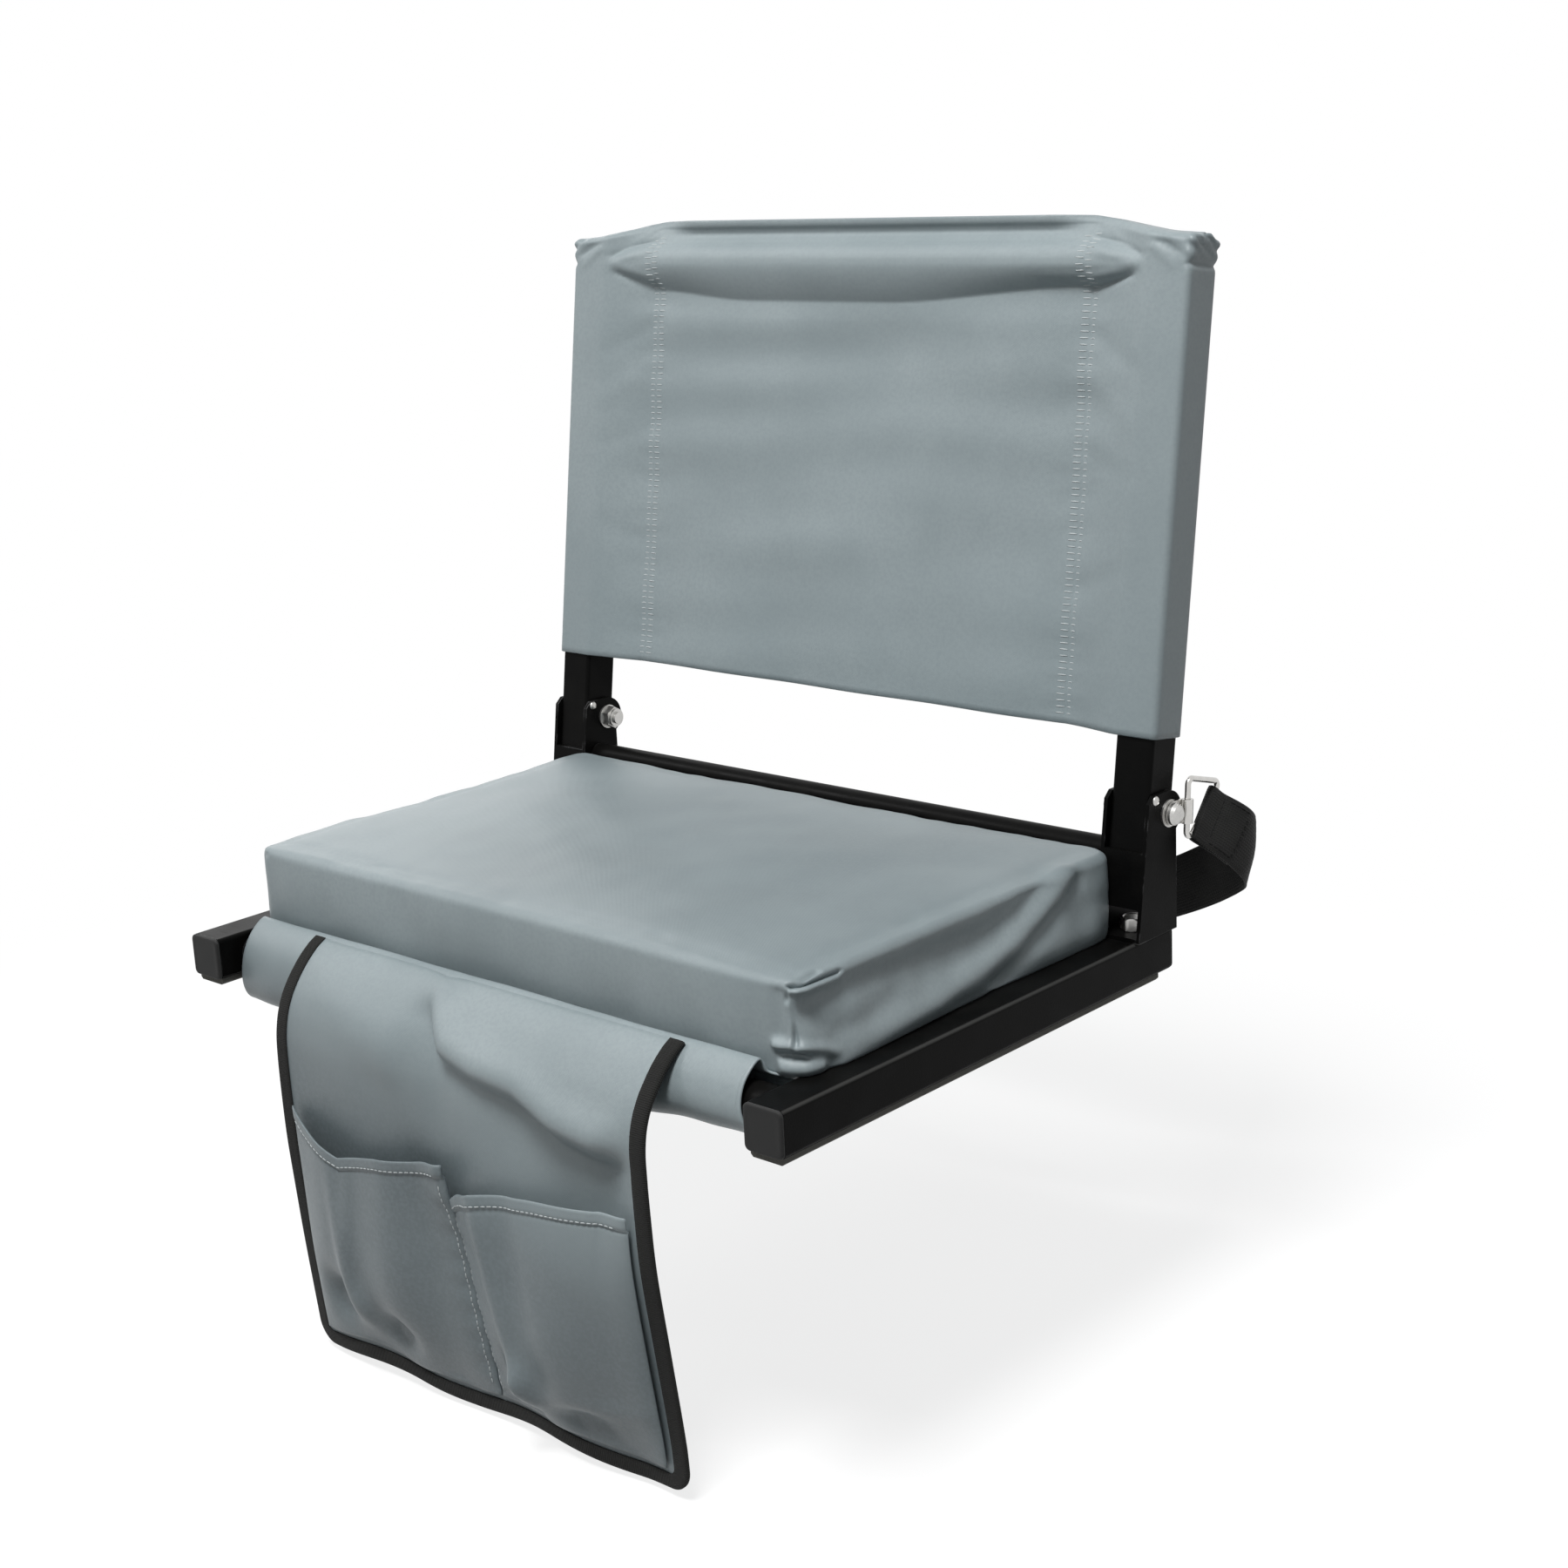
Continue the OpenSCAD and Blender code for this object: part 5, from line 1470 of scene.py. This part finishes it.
def foot_at(x, inset=0.0):
    """The run at which the bag ends at x, with its lower corners rounded."""
    reach = np.abs(x) - (bag_half - bag_radius)
    r = bag_radius - inset
    drop = np.where(reach > 0, bag_radius - np.sqrt(np.clip(bag_radius ** 2 - reach ** 2, 0, None)), 0.0)
    return bag_length - inset - drop * (r / bag_radius)


bag_xs = np.concatenate([
    -bag_half + bag_radius - bag_radius * np.sin(np.linspace(math.pi / 2, 0, 12))[:-1],
    np.linspace(-bag_half + bag_radius, bag_half - bag_radius, 86)[:-1],
    bag_half - bag_radius + bag_radius * np.sin(np.linspace(0, math.pi / 2, 12)),
])
bag_vs = np.linspace(0, 1, 92)
bag_x_grid, bag_v_grid = np.meshgrid(bag_xs, bag_vs, indexing="ij")
bag_v_grid = bag_v_grid * foot_at(bag_x_grid)
bag_grid = bag_at(bag_x_grid, bag_v_grid)[:, ::-1]
bag = cloth_shell("bag_cloth", bag_grid, bag_cloth, cloth.material)
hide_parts("bag_yoke", "bag_panel")
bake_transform(bag)


# Bag binding
# Black woven tape folded over the bag's two sides and foot and sewn through. It ends flat at the
# top of the sleeve on both sides.
tape_reach = 8.6 * MM
tape_thickness = 0.7 * MM
tape_out = 0.9 * MM
tape_profile = [
    (-1.0, 1.0), (-0.72, 1.0), (-0.4, 1.0), (-0.12, 1.0), (0.02, 0.8), (0.09, 0.35), (0.09, -0.35),
    (0.02, -0.8), (-0.12, -1.0), (-0.4, -1.0), (-0.72, -1.0), (-1.0, -1.0),
]

tape = Paint("binding_tape", {"Specular IOR Level": 0.15, "Sheen Weight": 0.03})
tape_place = tape.place()
tape_cloud = tape.noise(tape_place, 90.0, 3.0)
tape_u, tape_v, _ = tape.parts(tape.place((1.0, 1.0, 1.0), "UV"))
tape_ribs = (tape_u * (2 * math.pi / 0.0011)).sine()
tape_weft = (tape_v * (2 * math.pi / 0.0007)).sine()
tape.show(
    Base_Color=tape.mix(tape_cloud, (0.0085, 0.0085, 0.008), (0.02, 0.02, 0.0185)),
    Roughness=0.62 + 0.2 * tape_cloud,
)
tape.bump(tape_ribs + 0.5 * tape_weft, 0.00018, 0.8)


def outline(inset):
    """The bag's outline in x and run, down the left side, round the foot and up the right."""
    half = bag_half - inset
    r = bag_radius - inset
    foot = bag_length - inset
    route = [(-half, v) for v in np.linspace(0.0, foot - r, 90)[:-1]]
    for k in range(16):
        a = math.radians(90 * k / 16)
        route.append((-half + r - r * math.cos(a), foot - r + r * math.sin(a)))
    route += [(x, foot) for x in np.linspace(-half + r, half - r, 90)[:-1]]
    for k in range(16):
        a = math.radians(90 * k / 16)
        route.append((half - r + r * math.sin(a), foot - r + r * math.cos(a)))
    route += [(half, v) for v in np.linspace(foot - r, 0.0, 90)]
    return np.array(route)


edge_route = outline(0.0)
inner_route = outline(2.0 * MM)
outward = bag_at(edge_route[:, 0], edge_route[:, 1]) - bag_at(inner_route[:, 0], inner_route[:, 1])
outward /= np.linalg.norm(outward, axis=1, keepdims=True)
tape_rows = []
for reach, face in tape_profile:
    flat_route = outline(max(-reach * tape_reach, 0.0))
    place_on = bag_at(flat_route[:, 0], flat_route[:, 1])
    facing = bag_normal(flat_route[:, 0], flat_route[:, 1])
    lift = face * (bag_cloth / 2 + tape_thickness * 0.5)
    tape_rows.append(place_on + facing * lift + outward * max(reach, 0.0) * 10 * tape_out)
tape_grid = np.array(tape_rows).transpose(1, 0, 2)
binding = cloth_shell("bag_tape", tape_grid, tape_thickness, tape.material)
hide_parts("bag_binding", "yoke_binding")
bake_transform(binding)


# Bag pockets
# Two open pockets sewn on the panel, side by side, with a folded hem at each mouth. They bulge
# and sag, and small puckers run along the double seam between them.
pocket_outer = 137.5 * MM
pocket_inner = 1.2 * MM
pocket_foot = -197.5 * MM
pocket_cloth = 1.2 * MM
hem_height = 6.5 * MM
divider_lean = 12.0 * MM
pocket_list = [
    ("left_pocket", -1,
     [-0.137, -0.125, -0.105, -0.088, -0.080, -0.055, -0.02, -0.0012],
     [-0.054, -0.060, -0.066, -0.071, -0.069, -0.063, -0.058, -0.056]),
    ("right_pocket", 1,
     [0.0012, 0.012, 0.028, 0.06, 0.10, 0.137],
     [-0.076, -0.069, -0.064, -0.060, -0.055, -0.051]),
]


def pocket_bulge(side, x, v, mouth, foot):
    """How far the pocket's cloth stands off the panel."""
    across = (np.abs(x) - pocket_inner) / (pocket_outer - pocket_inner)
    down = np.clip((v - mouth) / (foot - mouth), 0, 1)
    plump = np.clip(4 * across * (1 - across), 0, 1) ** 0.55
    fall = np.clip(1 - down ** 1.7, 0, 1)
    out = (0.0108 * fall + 0.0080 * np.sin(down ** 1.4 * math.pi)) * plump
    corner = 0.0075 if side < 0 else 0.0025
    out += corner * np.exp(-(across / 0.10) ** 2 - (down / 0.20) ** 2)
    if side < 0:
        midway = np.sin(np.clip(down, 0, 1) * math.pi)
        out += 0.0022 * np.exp(-((x + 0.083 + 0.02 * down) / 0.006) ** 2) * midway
        out += 0.0022 * np.exp(-((x + 0.098) / 0.006) ** 2) * midway
        out -= 0.0105 * np.exp(-((x + 0.114) / 0.010) ** 2 - ((down - 0.78) / 0.11) ** 2)
        out -= 0.0105 * np.exp(-((x + 0.068) / 0.012) ** 2 - ((down - 0.84) / 0.09) ** 2)
        out += 0.0050 * np.exp(-((x + 0.091) / 0.007) ** 2 - ((down - 0.78) / 0.12) ** 2)
        out += 0.0016 * np.sin(x / 0.03 * math.pi + down * 2.0) * plump
    else:
        rib = np.exp(-((x - 0.026 - 0.018 * down) / 0.007) ** 2)
        out += 0.0042 * rib * smooth_step(1 - down, 0.0, 0.25)
        valley = np.exp(-((x - 0.046 - 0.014 * down) / 0.008) ** 2)
        out -= 0.0022 * valley * smooth_step(1 - down, 0.0, 0.4)
        dent_x = (x - 0.030 - 0.5 * (down - 0.8) * 0.1) / 0.006
        out -= 0.0050 * np.exp(-dent_x ** 2 - ((down - 0.84) / 0.10) ** 2) * 2.1
        out += 0.0080 * np.exp(-((x - 0.043) / 0.0065) ** 2 - ((down - 0.80) / 0.09) ** 2)
        out -= 0.0075 * np.exp(-((x - 0.078) / 0.018) ** 2 - ((down - 0.90) / 0.06) ** 2)
        out += 0.0014 * np.sin(x / 0.042 * math.pi + down * 3.0 + 0.6) * plump
        out += 0.0020 * np.exp(-((down - 0.9 + (x - 0.03) * 1.2) / 0.05) ** 2) * plump
    return np.maximum(out, 0.0) + 0.0012


for pocket_name, side, mouth_x, mouth_z in pocket_list:
    xs = np.linspace(min(mouth_x), max(mouth_x), 84)
    mouth = run_at(np.interp(xs, mouth_x, mouth_z))
    foot = run_at(np.full(len(xs), pocket_foot))
    foot = np.minimum(foot, foot_at(xs, 2.5 * MM))
    ts = np.concatenate([np.linspace(0, 0.08, 9)[:-1], np.linspace(0.08, 1.0, 62)])
    x_grid, t_grid = np.meshgrid(xs, ts, indexing="ij")
    v_grid = mouth[:, None] + t_grid * (foot - mouth)[:, None]
    lift = pocket_bulge(side, x_grid, v_grid, mouth[:, None], foot[:, None])
    below_hem = (v_grid - mouth[:, None]) / hem_height
    lift = lift + 0.0010 * (1 - smooth_step(below_hem, 0.9, 1.1))
    lift = lift - 0.0006 * np.exp(-((below_hem - 1.15) / 0.12) ** 2)
    lean_to = divider_lean * t_grid * (1 - (x_grid / pocket_outer) ** 2)
    grid = bag_at(x_grid + lean_to, v_grid, lift + bag_cloth / 2)
    seam_pull = np.exp(-((np.abs(x_grid) - pocket_inner) / 0.012) ** 2) * 0.00035
    grid[..., 1] += seam_pull * np.sin(v_grid / 0.008 * math.pi)
    pocket = cloth_shell(pocket_name + "_cloth", grid[:, ::-1], pocket_cloth, cloth.material, lift=1.0)
    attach(pocket, "bag")
    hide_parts(pocket_name)
    hem_rows = []
    j = int(np.argmin(np.abs(below_hem[42] - 0.86)))
    normals = grid_normals(grid[:, ::-1])[:, ::-1]
    hem_rows.append((grid[2:-2, j] + normals[2:-2, j] * pocket_cloth, normals[2:-2, j]))
    inner_i = 2 if side > 0 else -3
    seam_line = grid[inner_i, 8:-2] + normals[inner_i, 8:-2] * pocket_cloth
    hem_rows.append((seam_line, normals[inner_i, 8:-2]))
    pocket_stitches = sew(pocket_name + "_stitches", hem_rows, thread, 33 + side, "bag")


# Strap rings
# Nickel-plated wire bent to a triangle, one through the clip on each pivot bolt.
ring_corners = [(11.5, -19.0), (45.5, 12.0), (11.5, 19.0)]
ring_bend = 3.2
wire_r = 1.75 * MM
ring_x = 247.5 * MM
ring_turns = {-1: math.radians(-42.0), 1: math.radians(-4.0)}


def ring_point(side, y, z):
    """From the ring's own frame, in millimetres, to the shared frame."""
    a = ring_turns[side]
    return np.array((
        side * ring_x,
        pivot_y + (y * math.cos(a) - z * math.sin(a)) * MM,
        pivot_z + (y * math.sin(a) + z * math.cos(a)) * MM,
    ))


def ring_route():
    """The wire's middle line, with its corners bent round."""
    route = []
    corners = [np.array(c) for c in ring_corners]
    for i in range(3):
        before, here, after = corners[i - 1], corners[i], corners[(i + 1) % 3]
        to_before = (before - here) / np.linalg.norm(before - here)
        to_after = (after - here) / np.linalg.norm(after - here)
        half = math.acos(np.clip(to_before @ to_after, -1, 1)) / 2
        cut = ring_bend / math.tan(half)
        bisector = (to_before + to_after) / np.linalg.norm(to_before + to_after)
        centre = here + bisector * ring_bend / math.sin(half)
        start = here + to_before * cut
        end = here + to_after * cut
        a0 = math.atan2(*(start - centre)[::-1])
        a1 = math.atan2(*(end - centre)[::-1])
        sweep = (a1 - a0 + math.pi) % (2 * math.pi) - math.pi
        for k in range(11):
            a = a0 + sweep * k / 10
            route.append(centre + ring_bend * np.array((math.cos(a), math.sin(a))))
        beyond_next = corners[(i + 2) % 3]
        back_dir = (here - after) / np.linalg.norm(here - after)
        on_dir = (beyond_next - after) / np.linalg.norm(beyond_next - after)
        half_next = math.acos(np.clip(back_dir @ on_dir, -1, 1)) / 2
        far = after + back_dir * ring_bend / math.tan(half_next)
        for k in range(1, 12):
            route.append(end + (far - end) * k / 12)
    return route


def sweep_tube(route, radius, sides=18):
    """A round tube along a closed route of points."""
    route = np.array(route)
    count = len(route)
    ahead_by = np.roll(route, -1, axis=0) - np.roll(route, 1, axis=0)
    ahead_by /= np.linalg.norm(ahead_by, axis=1, keepdims=True)
    first = np.array((1.0, 0.0, 0.0))
    rings = []
    for k in range(count):
        side = first - ahead_by[k] * (first @ ahead_by[k])
        side /= np.linalg.norm(side)
        other = np.cross(ahead_by[k], side)
        rings.append([
            route[k] + radius * (side * math.cos(a) + other * math.sin(a))
            for a in np.linspace(0, 2 * math.pi, sides, endpoint=False)
        ])
    points = [p for ring in rings for p in ring]
    faces = []
    for i in range(count):
        for j in range(sides):
            a, b = i * sides, ((i + 1) % count) * sides
            k = (j + 1) % sides
            faces.append((a + j, a + k, b + k, b + j))
    return points, faces


for side, side_name in ((-1, "left"), (1, "right")):
    route = [ring_point(side, y, z) for y, z in ring_route()]
    points, faces = sweep_tube(route, wire_r)
    ring = make_object(side_name + "_ring_wire", points, faces, nickel.material)
    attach(ring, "strap")
    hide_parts(side_name + "_strap_ring")


# Carrying strap
# Black ribbed webbing that runs behind the seat from one ring to the other. Each end is folded
# round its ring's slanting side and sewn back on the strap.
strap_width = 35.0 * MM
strap_thickness = 2.0 * MM
strap_tail = 27.0 * MM
strap_step = 0.0022
loop_spot = (28.0, -4.0)
bow_height = 4.5 * MM
bow_at = 41.0 * MM
bow_reach = 15.0 * MM
strap_line = [
    ((247.5, 191.1, 91.0), (0, 0.784, 0.621)), ((252.9, 196.0, 86.4), (0, 0.76, 0.65)),
    ((257.6, 201.6, 81.4), (0, 0.68, 0.73)), ((260.6, 208.2, 75.4), (0, 0.53, 0.85)),
    ((260.0, 215.2, 68.6), (0, 0.35, 0.935)), ((254.8, 221.6, 61.6), (0, 0.17, 0.985)),
    ((246.0, 226.6, 55.2), (0, 0.02, 1)), ((234.5, 229.0, 47.5), (0, 0, 1)),
    ((221.0, 229.5, 39.5), (0, 0, 1)), ((207.0, 226.0, 32.5), (0, 0, 1)),
    ((193.4, 219.5, 27.5), (0, 0, 1)), ((168.3, 210.5, 24.5), (0, 0, 1)),
    ((132.0, 201.5, 22.8), (0, 0, 1)),
    ((84.0, 195.0, 21.5), (0, 0.05, 1)), ((28.0, 191.0, 21.0), (0, 0.2, 0.98)),
    ((-40.0, 190.0, 21.0), (0, 0.45, 0.89)), ((-110.0, 190.0, 19.0), (0, 0.7, 0.71)),
    ((-170.0, 190.5, 18.0), (0, 0.88, 0.47)), ((-215.0, 191.0, 18.0), (0, 0.94, 0.342)),
    ((-233.0, 191.0, 18.8), (0, 0.95, 0.3)), ((-243.4, 190.5, 23.5), (0, 0.96, 0.26)),
    ((-247.5, 188.5, 34.0), (0, 0.97, 0.2)), ((-247.5, 184.5, 50.0), (0, 0.99, 0.1)),
    ((-247.5, 180.0, 64.0), (0, 1, 0)), ((-247.5, 179.6, 69.0), (0, 1, 0)),
    ((-247.5, 179.6, 75.0), (0, 1, 0)),
]
webbing = Paint("webbing", {"Specular IOR Level": 0.15, "Sheen Weight": 0.03})
web_u, web_v, _ = webbing.parts(webbing.place((1.0, 1.0, 1.0), "UV"))
web_cloud = webbing.noise(webbing.place(), 70.0, 3.0)
web_rib = (web_v * (2 * math.pi / 0.0017)).sine()
web_pick = (web_u * (2 * math.pi / 0.0016) + 1.6 * web_rib).sine()
webbing.show(
    Base_Color=webbing.mix(
        web_cloud.ramp(0.3, 0.7) * (0.6 + 0.4 * web_pick), (0.006, 0.006, 0.0058), (0.018, 0.018, 0.017)
    ),
    Roughness=0.5 + 0.2 * web_cloud,
)
webbing.bump(0.6 * web_rib + 0.5 * web_pick, 0.00018, 0.7)

strap_mid = curve_through([p for p, w in strap_line], 8) * MM
strap_wide = curve_through([w for p, w in strap_line], 8)
strap_run = run_along(strap_mid)
strap_length = strap_run[-1]
tail_spans = {"start": strap_tail, "end": strap_tail * 0.62}


def on_run(values, at):
    """Three columns given along the strap's run, at one or more places on it."""
    return np.stack([np.interp(at, strap_run, values[:, k]) for k in range(3)], axis=-1)


def strap_frames(middle, wide):
    """Width and thickness directions that stand square to the strap's run."""
    ahead_by = np.gradient(middle, axis=0)
    ahead_by /= np.linalg.norm(ahead_by, axis=1, keepdims=True)
    wide = wide - ahead_by * np.sum(wide * ahead_by, axis=1, keepdims=True)
    wide /= np.linalg.norm(wide, axis=1, keepdims=True)
    return wide, np.cross(ahead_by, wide)


run_wide, run_thick = strap_frames(strap_mid, strap_wide)
leg = strap_thickness * 0.56
near_start = 1 - smooth_step(strap_run, strap_tail * 0.8, strap_tail * 1.3)
near_end = 1 - smooth_step(strap_length - strap_run, strap_tail * 0.55, strap_tail * 0.9)
legs = leg * near_start - leg * near_end
main_route = strap_mid + run_thick * legs[:, None]


def fold_end(centre, direction, thick):
    """The webbing's loop round the wire, from the strap outward."""
    direction = direction / np.linalg.norm(direction)
    loop_r = wire_r + strap_thickness / 2 + 0.15 * MM
    route = []
    for k in range(17):
        a = math.radians(70 + 220 * k / 16)
        route.append(centre + loop_r * (math.cos(a) * direction + math.sin(a) * thick))
    return route


def end_pieces(side, take):
    """Points beyond one end of the strap's run: the loop, then the tail beside the run."""
    centre = ring_point(side, *loop_spot)
    index = 0 if take == "start" else -1
    direction = strap_mid[index] - centre
    direction /= np.linalg.norm(direction)
    thick = run_thick[index] if take == "start" else -run_thick[index]
    thick = thick - direction * (thick @ direction)
    thick /= np.linalg.norm(thick)
    loop = fold_end(centre, direction, thick)
    runs = np.linspace(3.5 * MM, tail_spans[take], 14)
    places = runs if take == "start" else strap_length - runs
    tail = []
    tail_wide = []
    for s in runs:
        at = s if take == "start" else strap_length - s
        out = on_run(run_thick, at)
        out = out / np.linalg.norm(out)
        out = -out if take == "start" else out
        broad = on_run(run_wide, at)
        tail.append(on_run(strap_mid, at) + out * leg)
        tail_wide.append(broad / np.linalg.norm(broad))
    route = loop + tail
    wides = [run_wide[index]] * len(loop) + tail_wide
    ring_end = 0.0 if take == "start" else strap_length
    return np.array(route), np.array(wides), np.concatenate([np.full(len(loop), ring_end), places])


def cupped(s, across):
    """How far the webbing's middle bows out where it turns over behind the right upright."""
    return bow_height * np.exp(-((s - bow_at) / bow_reach) ** 2) * (1 - across ** 2)


start_route, start_wide, start_s = end_pieces(1, "start")
end_route, end_wide, end_s = end_pieces(-1, "end")
keep = (strap_run > 3.0 * MM) & (strap_run < strap_length - 3.0 * MM)
whole_route = np.concatenate([start_route[::-1], main_route[keep], end_route])
whole_wide = np.concatenate([start_wide[::-1], run_wide[keep], end_wide])
whole_s = np.concatenate([start_s[::-1], strap_run[keep], end_s])


whole_run = run_along(whole_route)
strap_at = np.linspace(0, whole_run[-1], int(whole_run[-1] / strap_step))
strap_s = np.interp(strap_at, whole_run, whole_s)
strap_route = np.stack([np.interp(strap_at, whole_run, whole_route[:, k]) for k in range(3)], axis=1)
strap_broad = np.stack([np.interp(strap_at, whole_run, whole_wide[:, k]) for k in range(3)], axis=1)
for _ in range(3):
    strap_route[1:-1] = (strap_route[:-2] + 2 * strap_route[1:-1] + strap_route[2:]) / 4
broad_dir, thick_dir = strap_frames(strap_route, strap_broad)
bow_index = int(np.argmin(np.abs(strap_run - bow_at)))
outer_face = float(np.sign(run_thick[bow_index][0]))
bow_dir = on_run(run_thick, strap_s) * outer_face
section_steps = 14
strap_section = [(-1 + 2 * k / section_steps, 1.0) for k in range(section_steps + 1)]
strap_section += [(1.012, 0.5), (1.016, 0.0), (1.012, -0.5)]
strap_section += [(1 - 2 * k / section_steps, -1.0) for k in range(section_steps + 1)]
strap_section += [(-1.012, -0.5), (-1.016, 0.0), (-1.012, 0.5)]
edge_from = 0.86
edge_width = 0.14
edge_thin = 0.28
strap_rings = []
for k in range(len(strap_route)):
    ring = []
    for across, face in strap_section:
        past = max(0.0, (abs(across) - edge_from) / edge_width) if abs(face) == 1.0 else 1.0
        edge = 1.0 - edge_thin * past
        ring.append(
            strap_route[k] + broad_dir[k] * across * strap_width / 2
            + thick_dir[k] * face * edge * strap_thickness / 2
            + bow_dir[k] * cupped(strap_s[k], min(abs(across), 1.0))
        )
    strap_rings.append(ring)
strap_points, strap_faces = loft(strap_rings)
section_count = len(strap_section)
strap_uvs = []
for face in strap_faces:
    for corner in face:
        i, j = divmod(corner, section_count)
        strap_uvs.append((strap_at[i], strap_section[j][0] * strap_width / 2))
strap = make_object("strap_webbing", strap_points, strap_faces, webbing.material, uvs=strap_uvs)
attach(strap, "strap")
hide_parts("carry_strap")

# The box of stitches that holds each tail down
box_near = 7.0 * MM
box_short = 2.5 * MM
box_half = 0.42
box_rows = []
for take in ("start", "end"):
    box_far = tail_spans[take] - box_short
    corners = [
        (box_near, -box_half), (box_far, -box_half), (box_far, box_half), (box_near, box_half),
        (box_near, -box_half),
    ]
    for face in (1, -1):
        for (s0, w0), (s1, w1) in zip(corners[:-1], corners[1:]):
            route, outs = [], []
            for t in np.linspace(0, 1, 12):
                s = s0 + (s1 - s0) * t
                w = w0 + (w1 - w0) * t
                at = s if take == "start" else strap_length - s
                out = on_run(run_thick, at)
                out = out / np.linalg.norm(out)
                bow = out * outer_face * cupped(at, 2 * abs(w))
                across = on_run(run_wide, at) * w * strap_width
                stand = out * face * (leg + strap_thickness / 2)
                route.append(on_run(strap_mid, at) + across + stand + bow)
                outs.append(out * face)
            box_rows.append((route, outs))
sew("strap_stitches", box_rows, dark_thread, 35, "strap")
